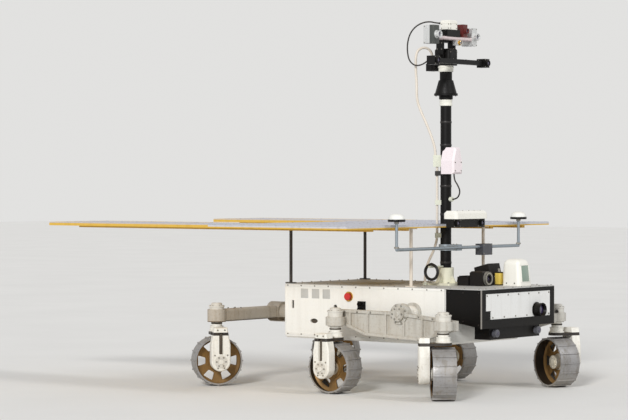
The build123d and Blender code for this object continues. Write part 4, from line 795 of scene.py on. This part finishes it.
spots = []
count = int((noseLow.x - deckLow.x) / body["screwStep"])
for side in both:
    face = side * (bodyHigh.y + 0.0014)
    for height in (shellTop - 0.0065, bodyLow.z + 0.0225):
        spots += facing((0, side, 0), spread((deckLow.x + 0.025, face, height),
                                             (noseLow.x - 0.022, face, height), count))
screwSet("body_screws", spots, body["screw"])
spots = []
for rise in (-rearCover["rise"], rearCover["rise"]):
    height = shellTop - rearCover["drop"] + rise
    spots += facing(back, spread((bodyLow.x + 0.0002, -rearCover["across"], height),
                                 (bodyLow.x + 0.0002, rearCover["across"], height), rearCover["screws"]))
screwSet("rear_cover_screws", spots, body["screw"])

half = body["plate"] / 2
plates = [block("plate", (mast.x + ahead - half, rightSide - 0.0009, body["plateHeight"] - half),
                (mast.x + ahead + half, rightSide + 0.0005, body["plateHeight"] + half), 0.0004)
          for ahead in body["plates"]]
finishPiece(joined("body_blank_plates", plates), "badgeGrey")

# dark sheets at the bottom of the side's recesses: painted shade in the openings
wells = []
for kind, (ahead, drop, wide, tall) in body["wells"].items():
    if kind == "slot":
        well = block("well", (-0.5, -0.5, 0), (0.5, 0.5, 0.0012), 0)
    else:
        well = turned("well", body["well"], 40)
    seat = placed((mast.x + ahead, rightSide + body["wellDepth"], shellTop - drop), rightward)
    well.data.transform(seat @ Matrix.Diagonal((tall, wide, 1, 1)))
    wells.append(well)
finishPiece(joined("body_wells_shade", wells), "darkPartsAndShade")

button = {"ahead": -0.395, "drop": 0.058,
          "collar": [(-0.001, 0.0272), (0.0050, 0.0272), (0.0062, 0.0260), (0.0062, 0.0175)],
          "cap": [(0.0060, 0.0120), (0.0110, 0.0120), (0.0120, 0.0195), (0.0135, 0.0208), (0.0175, 0.0208),
                  (0.0205, 0.0190), (0.0218, 0.0140), (0.0221, 0.0060)]}
seat = placed((mast.x + button["ahead"], rightSide, shellTop - button["drop"]), rightward)
finishPiece(turned("stop_collar", button["collar"], 48, seat), "lensGold")
cap = finishPiece(turned("stop_button", button["cap"], 48, seat), "buttonRed")
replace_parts(cap, "side_fittings")

connector = {"ahead": -0.306, "drop": 0.112, "halfTall": 0.031, "halfWide": 0.026, "base": 0.008,
             "up": 0.0150, "across": 0.0124, "pins": 5, "pinCircle": 0.0050,
             "shell": [(0.007, 0.0110), (0.0155, 0.0110), (0.0160, 0.0104), (0.0160, 0.0088),
                       (0.0100, 0.0086)],
             "pin": [(0.0098, 0.0011), (0.0150, 0.0011), (0.0155, 0.0006)]}
parts = [block("base", (-connector["halfTall"], -connector["halfWide"], -0.001),
               (connector["halfTall"], connector["halfWide"], connector["base"]))]
for x, y in rectangle(connector["up"], connector["across"]):
    parts.append(turned("shell", connector["shell"], 32, Matrix.Translation((x, y, 0))))
    parts += [turned("pin", connector["pin"], 8, Matrix.Translation((x + pinX, y + pinY, 0)))
              for pinX, pinY in around(connector["pins"], connector["pinCircle"])]
plug = joined("side_connector", parts)
seat = placed((mast.x + connector["ahead"], rightSide, shellTop - connector["drop"]), rightward)
plug.data.transform(seat)
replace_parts(finishPiece(plug, "noseBlack"), "side_fittings")
print("body ready")

# Deck: edge screws, a hatch and threaded inserts

deckTop = deckHigh.z
deck = {"screw": 0.0070, "sideScrews": 15, "endScrews": 8, "edge": 0.010, "sideEnd": 0.02, "endEnd": 0.06,
        "insertsBehind": 0.420, "insertHalf": 0.150,
        "insert": [(-0.001, 0.0090), (0.0010, 0.0090), (0.0016, 0.0084), (0.0016, 0.0036), (-0.001, 0.0034)]}
hatch = {"low": (-0.235, -0.250, 0), "high": (0.215, 0.250, 0.0022), "edge": 0.0009, "fromRear": 0.30}
spots, level = [], deckTop - 0.0002
for side in both:
    y = side * (deckHigh.y - deck["edge"])
    spots += spread((deckLow.x + deck["sideEnd"], y, level), (deckHigh.x - deck["sideEnd"], y, level),
                    deck["sideScrews"])
for x in (deckLow.x + deck["edge"], deckHigh.x - deck["edge"]):
    y = deckHigh.y - deck["endEnd"]
    spots += spread((x, -y, level), (x, y, level), deck["endScrews"])
screwSet("deck_screws", facing(up, spots), deck["screw"])
cover = block("deck_hatch", hatch["low"], hatch["high"], hatch["edge"])
cover.data.transform(Matrix.Translation((deckLow.x + hatch["fromRear"], 0, deckTop - 0.0003)))
seats = [Matrix.Translation(fromMast(x - deck["insertsBehind"], y, deckTop))
         for x, y in rectangle(deck["insertHalf"], deck["insertHalf"])]
inserts = [turned("insert", deck["insert"], 28, seat) for seat in seats]
finishPiece(cover, "deckGrey")
finishPiece(joined("deck_inserts", inserts), "boltSteel")
print("deck ready")


# Nose: panel and side screws, lamp and cameras with their glass

def lensGlass(name, point, direction, radius, body="chassis"):  # a crowned glass in a barrel
    crown, rim = radius * 0.18, radius * 0.985
    steps = [(-0.002, rim), (0, rim)]
    steps += [(crown * sin(a), rim * cos(a)) for a in (radians(15 * n) for n in range(1, 6))]
    finishPiece(turned(name, steps, 40, placed(point, direction)), "lensGlass", body, 60)


panel = {"behind": 0.0032, "top": 0.541, "bottom": 0.425, "across": 0.298, "bottomFrom": -0.245,
         "topScrews": 7, "bottomScrews": 6}
noseSide = {"face": 0.3478, "rearDepth": 0.166, "screw": 0.016}
lamp = {"behind": 0.003, "side": 0.175, "drop": 0.122, "glass": 0.0272, "glassOut": 0.026,
        "barrel": [(-0.001, 0.0410), (0.004, 0.0410), (0.005, 0.0360), (0.034, 0.0360), (0.036, 0.0375),
                   (0.0430, 0.0375), (0.0440, 0.0365), (0.0440, 0.0325), (0.0420, 0.0305), (0.0230, 0.0270)]}
hazard = {"side": 0.200, "lift": 0.021, "glass": 0.0090, "glassOut": 0.0268,
          "barrel": [(-0.001, 0.0210), (0.006, 0.0210), (0.007, 0.0190), (0.0200, 0.0190), (0.0210, 0.0205),
                     (0.0240, 0.0205), (0.0245, 0.0195), (0.0245, 0.0118), (0.0285, 0.0112),
                     (0.0290, 0.0106), (0.0290, 0.0094), (0.0265, 0.0090)]}
x = noseHigh.x - panel["behind"]
spots = spread((x, -panel["across"], panel["top"]), (x, panel["across"], panel["top"]), panel["topScrews"])
spots += spread((x, panel["bottomFrom"], panel["bottom"]), (x, panel["across"], panel["bottom"]),
                panel["bottomScrews"])
screwSet("nose_panel_screws", facing(front, spots), 0.0066)
spots = []
for x in (noseLow.x + 0.020, noseLow.x + 0.110, noseHigh.x - 0.022):
    share = (x - noseLow.x) / (noseHigh.x - noseLow.x)
    depth = noseSide["rearDepth"] + (noseHigh.z - noseLow.z - noseSide["rearDepth"]) * share
    for side in both:
        spots += facing((0, side, 0), [(x, side * noseSide["face"], shellTop - drop)
                                       for drop in (noseSide["screw"], depth - noseSide["screw"])])
screwSet("nose_side_screws", spots, 0.0066, finish="boltBlack")

lampAt = Vector((noseHigh.x - lamp["behind"], lamp["side"], shellTop - lamp["drop"]))
barrel = finishPiece(turned("lamp", lamp["barrel"], 64, placed(lampAt, front)), "noseBlack")
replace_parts(barrel, "nose_cameras")
lensGlass("lamp_glass", lampAt + Vector((lamp["glassOut"], 0, 0)), front, lamp["glass"])
for name, side in sides.items():
    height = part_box("nose_cameras")[0].z + hazard["lift"]
    spot = Vector((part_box("nose_bay")[1].x, side * hazard["side"], height))
    barrel = turned("hazard_" + name, hazard["barrel"], 48, placed(spot, front))
    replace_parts(finishPiece(barrel, "bayGrey"), "nose_cameras")
    lensGlass("hazard_" + name + "_glass", spot + Vector((hazard["glassOut"], 0, 0)), front, hazard["glass"])
print("nose ready")

# Mast: foot bolts, collar, bands, and the receiver's screws and straps

mastTrim = {
    "footHalf": 0.060, "footTop": 0.0118, "collarAt": 1.560,
    "collar": [(0, 0.0296), (0, 0.0335), (0.002, 0.0350), (0.012, 0.0350), (0.014, 0.0335), (0.020, 0.0335),
               (0.022, 0.0350), (0.032, 0.0350), (0.034, 0.0335), (0.034, 0.0296)],
    "bandsAt": (0.700, 0.965, 1.120, 1.345, 1.470),
    "band": [(-0.006, 0.0298), (-0.006, 0.0316), (-0.005, 0.0320), (0.005, 0.0320), (0.006, 0.0316),
             (0.006, 0.0298)],
    "flangeCircle": 0.0540, "flangeUnder": 0.0202, "strapsAt": (0.016, 0.060),
    "strap": [(-0.005, 0.0298), (-0.005, 0.0312), (0.005, 0.0312), (0.005, 0.0298)]}
spots = [fromMast(x, y, deckTop + mastTrim["footTop"])
         for x, y in rectangle(mastTrim["footHalf"], mastTrim["footHalf"])]
boltSet("mast_foot_bolts", facing(up, spots), 0.011)
collar = turned("mast_collar", mastTrim["collar"], 56, atMast(mastTrim["collarAt"]))
finishPiece(collar, "ringPale")
bands = [turned("band", mastTrim["band"], 48, atMast(height)) for height in mastTrim["bandsAt"]]
finishPiece(joined("mast_bands", bands), "boltBlack")
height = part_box("mast_head_base")[0].z + mastTrim["flangeUnder"]
spots = [fromMast(x, y, height) for x, y in around(6, mastTrim["flangeCircle"], 30)]
boltSet("mast_flange_bolts", facing((0, 0, -1), spots), 0.007, finish="boltBlack")
receiverLow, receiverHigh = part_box("mast_box")
spots = [(receiverHigh.x - 0.0002, y, receiverLow.z + z) for y in (-0.028, 0.028) for z in (0.018, 0.064)]
screwSet("receiver_screws", facing(front, spots), 0.0055)
straps = [turned("strap", mastTrim["strap"], 48, atMast(receiverLow.z + rise))
          for rise in mastTrim["strapsAt"]]
finishPiece(joined("receiver_straps", straps), "boltSteel")
print("mast ready")

# Pan unit: cover over the tilt shaft, bolts, fins and navigation cameras

panLow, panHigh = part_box("pan_box")
tiltZ = joints["head_tilt"]["pos_m"][2]
fork = {"outer": 0.060, "bolt": 0.0055, "coverCircle": 0.0140, "armBolts": (0.040, 0.074),
        "cover": [(-0.001, 0.0200), (0.0012, 0.0200), (0.0024, 0.0188), (0.0024, 0.0090), (0.0040, 0.0080),
                  (0.0044, 0.0070)]}
pan = {"bolt": 0.0052, "fins": 4, "finFrom": 0.034, "finStep": 0.0075, "finThick": 0.0025, "ringLift": 0.008,
       "ring": [(-0.004, 0.0405), (-0.004, 0.0428), (-0.0028, 0.0436), (0.0028, 0.0436), (0.004, 0.0428),
                (0.004, 0.0405)]}
leftward = (0, 1, 0)
cover = turned("fork_cover", fork["cover"], 40, placed(fromMast(0, fork["outer"], tiltZ), leftward))
finishPiece(cover, "boltBlack", "camera_head")
spots = facing(leftward, [fromMast(x, fork["outer"] + 0.0022, tiltZ + z)
                          for x, z in around(4, fork["coverCircle"], 45)])
for side in both:
    spots += facing((0, side, 0), [fromMast(x, side * fork["outer"], tiltZ + z)
                                   for x in (-0.014, 0.014) for z in fork["armBolts"]])
boltSet("fork_bolts", spots, fork["bolt"], "camera_head")
spots = facing(front, [fromMast(0.0520, y, panHigh.z - 0.018) for y in (-0.030, 0.030)])
spots += facing(back, [(panLow.x + 0.0002, y, panLow.z + z) for y in (-0.024, 0.024) for z in (0.008, 0.034)])
spots += facing(up, [fromMast(x, y, panHigh.z - 0.0002) for x, y in rectangle(0.034, 0.024)])
boltSet("pan_bolts", spots, pan["bolt"], "pan_unit")
fins = []
for number in range(pan["fins"]):
    x = panLow.x + pan["finFrom"] + number * pan["finStep"]
    fins.append(block("fin", (x, -0.0342, panLow.z + 0.006), (x + pan["finThick"], -0.0322, panLow.z + 0.036),
                      0.0006))
fins += [copyTo(fin, Matrix.Scale(-1, 4, leftward)) for fin in fins]
panFins = joined("pan_fins", fins)
outwards(panFins)
finishPiece(panFins, "headBlack", "pan_unit")
ring = turned("pan_ring_trim", pan["ring"], 56, atMast(middle("pan_ring").z + pan["ringLift"]))
finishPiece(ring, "ringPale", "pan_unit")


def lensBarrel(name, point, radius, reach, finish, body="chassis"):
    # a stepped barrel with a lip and a focus ring, grown over the CAD's, and its glass
    steps = ((0.12, 1.18), (0.16, 1.06), (0.30, 1.06), (0.34, 1.02), (0.70, 1.02), (0.74, 1.07), (0.98, 1.07),
             (1.01, 1.03), (1.01, 0.86), (0.90, 0.80), (0.62, 0.72), (0.50, 0.70))
    profile = [(-0.001, radius * 1.18)] + [(reach * height, radius * width) for height, width in steps]
    finishPiece(turned(name, profile, 56, placed(point, front)), finish, body)
    glassAt = Vector(point) + Vector((reach * 0.56, 0, 0))
    lensGlass(name + "_glass", glassAt, front, radius * 0.71, body)


navZ = middle("nav_bar").z
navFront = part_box("nav_bar")[1].x - 0.012
stereo = {"radius": 0.015, "reach": 0.0118}
nav = {"side": 0.237, "ahead": 0.084, "screw": 0.0042}
for name, side in sides.items():
    lensBarrel("nav_" + name + "_lens", (navFront, side * nav["side"], navZ), stereo["radius"],
               stereo["reach"], "headBlack", "pan_unit")
spots = facing(front, [(navFront, side * (nav["side"] + y), navZ + z) for side in both
                       for y, z in rectangle(0.018, 0.019)])
spots += facing(up, [fromMast(nav["ahead"] + x, y, navZ + 0.0128) for y in (-0.180, -0.060, 0.060, 0.180)
                     for x in (-0.008, 0.008)])
screwSet("nav_screws", spots, nav["screw"], "pan_unit")
print("pan unit ready")

# Camera head: lenses, screws, seams, fins and plugs

benchLow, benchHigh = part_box("camera_bench")
bench = (benchLow + benchHigh) / 2
wide = {"front": bench.x + 0.035, "side": 0.180, "height": bench.z + 0.015, "halfWide": 0.0249,
        "halfTall": 0.0509, "radius": 0.019, "reach": 0.0258, "seams": (-0.012, 0.020)}
for name, side in sides.items():
    lensBarrel("wide_" + name + "_lens", (wide["front"], side * wide["side"], wide["height"]), wide["radius"],
               wide["reach"], "cameraSilver", "camera_head")
lensBarrel("red_lens", (bench.x + 0.030, 0.100, benchHigh.z + 0.036), 0.014, 0.0158, "cameraRed",
           "camera_head")
lensBarrel("small_lens", fromMast(0.070, 0.030, benchLow.z - 0.014), 0.012, 0.0118, "lensGold",
           "camera_head")
spots = facing(front, [(wide["front"], side * (wide["side"] + y), wide["height"] + z) for side in both
                       for y, z in rectangle(0.019, 0.044)])
for side in both:
    spots += facing((0, side, 0), [(bench.x + x, side * 0.2040, wide["height"] + z)
                                   for x, z in rectangle(0.029, 0.044)])
spots += facing(up, [(bench.x + x, y, benchHigh.z - 0.0002) for y in (-0.140, -0.090, 0.062, 0.138)
                     for x in (-0.024, 0.024)])
screwSet("camera_screws", spots, 0.0044, "camera_head")


def wideSlice(name, start, end, side, inset, edge):  # a slice of a wide camera's housing, between two places
    halfWide, halfTall = wide["halfWide"] - inset, wide["halfTall"] - inset
    return block(name, (start, side * wide["side"] - halfWide, wide["height"] - halfTall),
                 (end, side * wide["side"] + halfWide, wide["height"] + halfTall), edge)


# painted shade: a dark grey-green front on the right wide camera only, while the left one keeps its silver
paintedShadeFront = wideSlice("wide_right_front", bench.x + 0.006, wide["front"] + 0.0006, -1, 0, 0.0012)
finishPiece(paintedShadeFront, "cameraPaintedShade", "camera_head")
seams = [wideSlice("seam", bench.x + x - 0.0014, bench.x + x + 0.0014, side, 0.0003, 0.0005)
         for side in both for x in wide["seams"]]
finishPiece(joined("camera_seams", seams), "cameraSilver", "camera_head")

computer = {"fins": 5, "finStep": 0.0062, "plugSides": (-0.050, -0.026, 0.024), "plugLift": 0.019,
            "plug": [(-0.001, 0.0078), (0.004, 0.0078), (0.0045, 0.0064), (0.010, 0.0064), (0.0105, 0.0074),
                     (0.0160, 0.0074), (0.0166, 0.0062), (0.0166, 0.0030)]}
computerLow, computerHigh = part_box("head_computer")
fins = []
for number in range(computer["fins"]):
    z = computerLow.z + 0.005 + number * computer["finStep"]
    fins.append(block("fin", (computerLow.x + 0.004, computerLow.y - 0.0030, z),
                      (computerHigh.x - 0.004, computerLow.y + 0.0010, z + 0.0025), 0.0005))
seats = [placed((computerLow.x, y, computerLow.z + computer["plugLift"]), back)
         for y in computer["plugSides"]]
plugs = [turned("plug", computer["plug"], 24, seat) for seat in seats]
finishPiece(joined("computer_fins", fins + plugs), "headBlack", "camera_head")

topLow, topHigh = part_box("head_electronics")
electronics = {"proud": 0.0014, "seam": (0.0170, 0.0140), "inset": 0.008, "upper": 0.022, "leadSide": -0.034,
               "leadHeight": 2.012,
               "relief": [(-0.001, 0.0085), (0.004, 0.0085), (0.005, 0.0070), (0.009, 0.0070),
                          (0.010, 0.0062), (0.022, 0.0048), (0.024, 0.0042)]}
proud, inset = electronics["proud"], electronics["inset"]
lid = block("electronics_lid", (topLow.x - proud, topLow.y - proud, topHigh.z - electronics["seam"][0]),
            (topHigh.x + proud, topHigh.y + proud, topHigh.z - electronics["seam"][1]), 0.0008)
finishPiece(lid, "boxWhite", "camera_head")
levels = (topLow.z + inset, topHigh.z - electronics["upper"])
spots = facing(front, [(topHigh.x, y, z) for y in (topLow.y + inset, topHigh.y - inset) for z in levels])
spots += facing(rightward, [(x, topLow.y, z) for x in (topLow.x + inset, topHigh.x - inset) for z in levels])
screwSet("electronics_screws", spots, 0.0044, "camera_head")
seat = placed((topLow.x, electronics["leadSide"], electronics["leadHeight"]), back)
relief = turned("lead_relief", electronics["relief"], 28, seat)
finishPiece(relief, "cableBlack", "camera_head")
print("camera head ready")

# Solar array: fasteners round each sheet, and edge strips

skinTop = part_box("array_skin")[1].z
halfBoard = boardHigh.y
array = {"inset": 0.016, "pitch": 0.118, "strip": 0.012, "lap": 0.0004, "wing": 0.479, "gap": 0.002,
         "rearSheet": 0.473, "frontSheet": 0.477, "notch": 0.065, "notchEdge": 0.052,
         "screw": [(-0.0004, 0.00375), (0.0008, 0.00375), (0.0016, 0.00225), (0.0016, 0.001125),
                   (0.0006, 0.0009)]}
wingInner = halfBoard - array["wing"]
gap, strip, lap = array["gap"], array["strip"], array["lap"]


def sheetSpots(x0, x1, y0, y1):  # screws along the edges of one sheet
    y0, y1 = sorted((y0, y1))
    inset, pitch = array["inset"], array["pitch"]
    x0, x1, y0, y1 = x0 + inset, x1 - inset, y0 + inset, y1 - inset
    alongX = max(2, round((x1 - x0) / pitch) + 1)
    alongY = max(2, round((y1 - y0) / pitch) + 1)
    spots = []
    for y in (y0, y1):
        spots += spread((x0, y, skinTop - 0.0003), (x1, y, skinTop - 0.0003), alongX)
    for x in (x0, x1):
        spots += spread((x, y0, skinTop - 0.0003), (x, y1, skinTop - 0.0003), alongY)[1:-1]
    return spots


spots = []
for side in both:
    spots += sheetSpots(stepX + array["frontSheet"], boardHigh.x, side * gap, side * halfBoard)
    spots += sheetSpots(stepX, stepX + array["rearSheet"], side * gap, side * halfBoard)
    spots += sheetSpots(boardLow.x + gap, stepX - gap, side * wingInner, side * halfBoard)
notch = array["notch"]
seats = [Matrix.Translation(spot) for spot in spots if not (spot.x > mast.x - notch and abs(spot.y) < notch)]
screws = copiesOf(turned("screw", array["screw"], 10), seats)
finishPiece(joined("array_screws", screws), "boltSteel")


def edgeStrip(x0, x1, y0, y1):  # a thin strip on the sheets' edges
    y0, y1 = sorted((y0, y1))
    return block("edge", (x0, y0, skinTop - 0.0006), (x1, y1, skinTop + 0.0010), 0.0005)


wingEdges, frontEdges = [], []
for side in both:
    outer, inner = side * halfBoard, side * wingInner
    rim = outer - side * strip  # the strip's inner edge
    wingEdges.append(edgeStrip(boardLow.x + lap, stepX - gap, rim, outer - side * lap))
    wingEdges.append(edgeStrip(boardLow.x + lap, stepX - gap, inner + side * lap, inner + side * strip))
    wingEdges.append(edgeStrip(boardLow.x + lap, boardLow.x + strip, rim, inner + side * strip))
    frontEdges.append(edgeStrip(stepX, boardHigh.x - lap, rim, outer - side * lap))
    frontEdges.append(edgeStrip(boardHigh.x - strip, boardHigh.x - lap, side * array["notchEdge"], rim))
    frontEdges.append(edgeStrip(stepX + lap, stepX + strip, side * gap, inner - side * gap))
finishPiece(joined("array_wing_edging", wingEdges), "arrayYellow")
finishPiece(joined("array_front_edging", frontEdges), "arrayEdge")
print("array ready")

# Antennas: a pale dome on a dark rim, on each post of the cross bar

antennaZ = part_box("antennas")[0].z
bar = {"ahead": 0.092, "side": 0.579, "height": 0.784, "bolt": 0.0058, "boxSide": 0.235, "boxDrop": 0.014,
       "boxFace": 0.1168}
antenna = {"rim": [(0, 0.010), (0, 0.0440), (0.0015, 0.0462), (0.0105, 0.0470), (0.0125, 0.0462),
                   (0.0130, 0.0440)], "dome": 0.0440, "crown": 0.0302,
           "nut": ((0, 0.9), (0.001, 1), (0.009, 1), (0.010, 0.9))}


def onPosts(name, profile, segments, height):  # a round piece on each post of the bar
    return [turned(name, profile, segments,
                   Matrix.Translation(fromMast(bar["ahead"], side * bar["side"], height))) for side in both]


steps = [(0.0120, antenna["dome"])]
steps += [(0.0130 + antenna["crown"] * sin(a), antenna["dome"] * cos(a) ** 0.6)
          for a in (radians(7.5 * n) for n in range(12))]
rims = joined("antenna_rims", onPosts("rim", antenna["rim"], 64, antennaZ))
domes = joined("antenna_domes", onPosts("dome", steps, 64, antennaZ))
finishPiece(rims, "headBlack", angle=45)
finishPiece(domes, "antennaWhite", angle=60)
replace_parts(domes, "antennas")
nuts = []
for height, radius in ((antennaZ - 0.010, 0.013), (bar["height"] + 0.006, 0.0135)):
    nuts += onPosts("nut", [(rise, radius * share) for rise, share in antenna["nut"]], 6, height)
finishPiece(joined("antenna_nuts", nuts), "boltSteel")
spots = facing(up, [fromMast(0.062, y, bar["height"] + 0.0168) for y in (-0.016, 0.016)])
spots += facing(front, [fromMast(bar["boxFace"], bar["boxSide"] + y, bar["height"] - bar["boxDrop"] + z)
                        for y, z in rectangle(0.038, 0.023)])
boltSet("bar_bolts", spots, bar["bolt"])

# Localisation camera and its cover

loc = {"side": 0.116, "behind": 0.012, "screw": 0.0044, "screwsOut": (-0.142, -0.086, 0.086, 0.142),
       "coverScrew": 0.0050, "coverInset": 0.026, "coverOut": (-0.110, 0, 0.110)}
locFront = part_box("loc_camera")[1].x - loc["behind"]
locZ = middle("loc_camera").z
for name, side in sides.items():
    lensBarrel("loc_" + name + "_lens", (locFront, side * loc["side"], locZ), stereo["radius"],
               stereo["reach"], "headBlack")
spots = [(locFront, y, locZ + z) for y in loc["screwsOut"] for z in (-0.017, 0.017)]
screwSet("loc_screws", facing(front, spots), loc["screw"])
coverLow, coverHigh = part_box("loc_cover")
inset = loc["coverInset"]
spots = [(x, y, coverHigh.z - 0.0003) for x in (coverLow.x + inset, coverHigh.x - inset)
         for y in loc["coverOut"]]
screwSet("cover_screws", facing(up, spots), loc["coverScrew"])
print("antennas and localisation camera ready")

# Units on the deck: the domed one's hood and window, and the others' lens, fins and plugs

domeLow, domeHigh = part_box("dome_unit")
hood = {"corner": 0.022, "taper": 0.87, "fixed": 0.035, "crown": 0.034, "crownSteps": 7,
        "glass": (0.092, 0.074), "glassRise": 0.066, "glassSunk": 0.0060, "bar": 0.0042, "screw": 0.0060,
        "screwRise": 0.014, "screwInset": 0.034}


def makeHood():  # a rounded plan pulled up with a slight taper, then closed by a crown
    deselectAll()
    centre = (domeLow + domeHigh) / 2
    size = domeHigh - domeLow
    bpy.ops.mesh.primitive_plane_add(size=1, location=(centre.x, centre.y, domeLow.z))
    piece = bpy.context.object
    piece.name = "dome_hood"
    piece.scale = (size.x, size.y, 1)
    freeze(piece)
    bpy.ops.object.mode_set(mode='EDIT')
    bpy.ops.mesh.select_all(action='SELECT')
    bpy.ops.mesh.bevel(offset=hood["corner"], segments=6, affect='VERTICES')
    bpy.ops.mesh.extrude_region_move(TRANSFORM_OT_translate={"value": (0, 0, size.z - hood["crown"])})
    fixed = Vector((domeLow.x + hood["fixed"], domeLow.y + hood["fixed"], domeHigh.z))
    bpy.ops.transform.resize(value=(hood["taper"], hood["taper"], 1), center_override=fixed)
    top = fixed + (centre - fixed) * hood["taper"]
    half = size * hood["taper"] / 2
    inset, rise = 0, 0
    for step in range(1, hood["crownSteps"] + 1):
        angle = pi / 2 * step / hood["crownSteps"]
        nextInset, nextRise = hood["crown"] * (1 - cos(angle)), hood["crown"] * sin(angle)
        bpy.ops.mesh.extrude_region_move(TRANSFORM_OT_translate={"value": (0, 0, nextRise - rise)})
        scale = ((half.x - nextInset) / (half.x - inset), (half.y - nextInset) / (half.y - inset), 1)
        bpy.ops.transform.resize(value=scale, center_override=top)
        inset, rise = nextInset, nextRise
    bpy.ops.object.mode_set(mode='OBJECT')
    outwards(piece)
    return finishPiece(piece, "boxWhite", angle=50)


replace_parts(makeHood(), "dome_unit")
leanRun = (1 - hood["taper"]) * (domeHigh.x - domeLow.x - hood["fixed"])
lean = leanRun / (domeHigh.z - domeLow.z - hood["crown"])
rise = hood["glassRise"]
seat = placed((domeHigh.x - lean * rise, middle("dome_unit").y, domeLow.z + rise), (1, 0, lean))
tall, across = (size / 2 for size in hood["glass"])
sunk, halfBar = -hood["glassSunk"], hood["bar"] / 2
window = block("dome_window", (-tall, -across, sunk), (tall, across, 0.0006), 0.0010)
window.data.transform(seat)
finishPiece(window, "windowGlass")
bars = []
for x, y, halfTall, halfWide in ((tall, 0, 0, across), (-tall, 0, 0, across), (0, across, tall, 0),
                                 (0, -across, tall, 0)):
    bars.append(block("bar", (x - halfTall - halfBar, y - halfWide - halfBar, sunk),
                      (x + halfTall + halfBar, y + halfWide + halfBar, 0.0018), 0.0008))
windowFrame = joined("dome_frame", bars)
windowFrame.data.transform(seat)
finishPiece(windowFrame, "boxWhite")
spots, inset = [], hood["screwInset"]
for side, y in ((-1, domeLow.y + 0.0002), (1, domeHigh.y - 0.0002)):
    spots += facing((0, side, 0), [(x, y, deckTop + hood["screwRise"])
                                   for x in (domeLow.x + inset, domeHigh.x - inset)])
screwSet("dome_screws", spots, hood["screw"])

units = {
    "scanner": (0.254, 0.030, 0.040), "scannerGlass": 0.0170,
    "bezel": [(-0.001, 0.0385), (0.003, 0.0385), (0.004, 0.0362), (0.012, 0.0362), (0.0142, 0.0345),
              (0.0142, 0.0250), (0.0100, 0.0215), (0.0050, 0.0172), (0.0010, 0.0168)],
    "fins": 8, "finFrom": 0.098, "finStep": 0.008, "finThick": 0.0025, "finSides": (-0.0155, 0.0675),
    "finHeights": (0.047, 0.0535),
    "sleeve": (0.256, 0.142), "sleeveHalf": 0.0164, "sleeveHeights": (0.006, 0.068),
    "plugs": ((0.256, 0.142, 0.0738, up), (0.091, 0.010, 0.024, back), (0.091, 0.044, 0.024, back)),
    "plug": [(-0.001, 0.0095), (0.004, 0.0095), (0.0045, 0.0078), (0.010, 0.0078), (0.0105, 0.0088),
             (0.0180, 0.0088), (0.0186, 0.0076), (0.0186, 0.0036)]}


def onDeck(ahead, side, height=0):
    return fromMast(ahead, side, deckTop + height)


scannerAt = onDeck(*units["scanner"])
finishPiece(turned("scanner_bezel", units["bezel"], 64, placed(scannerAt, front)), "boltSteel")
lensGlass("scanner_glass", scannerAt + Vector((0.0022, 0, 0)), front, units["scannerGlass"])
fins = []
(right, left), (low, high) = units["finSides"], units["finHeights"]
for number in range(units["fins"]):
    ahead = units["finFrom"] + number * units["finStep"]
    fins.append(block("fin", onDeck(ahead, right, low), onDeck(ahead + units["finThick"], left, high),
                      0.0006))
finishPiece(joined("unit_fins", fins), "unitDark")
ahead, side = units["sleeve"]
half, (low, high) = units["sleeveHalf"], units["sleeveHeights"]
sleeve = block("unit_sleeve", onDeck(ahead - half, side - half, low), onDeck(ahead + half, side + half, high),
               0.0012)
finishPiece(sleeve, "unitYellow")
seats = [placed(onDeck(x, y, z), way, leftward) for x, y, z, way in units["plugs"]]
plugs = [turned("plug", units["plug"], 28, seat) for seat in seats]
finishPiece(joined("unit_plugs", plugs), "boltSteel")
print("deck units ready")

# Coil of spare cable on its peg, its two ends at the top

coil = {"turns": 5, "radius": 0.042, "cord": 0.0060, "twist": 0.0055, "lay": 0.4, "perTurn": 14}
coilAt = middle("cable_coil")
points = []
for step in range(coil["turns"] * coil["perTurn"] + 1):
    angle = pi / 2 + 2 * pi * step / coil["perTurn"]
    place = 2 * pi * coil["lay"] * step / coil["perTurn"]  # where this turn lies among the others
    reach = coil["radius"] + cos(place) * coil["twist"]
    side = sin(place) * coil["twist"]
    points.append(Vector((coilAt.x + cos(angle) * reach, coilAt.y + side, coilAt.z + sin(angle) * reach)))
runCord("spareCoil", points, coil["cord"], "cableBlack", "chassis", "cable_coil")
print("coil ready")

low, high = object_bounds()
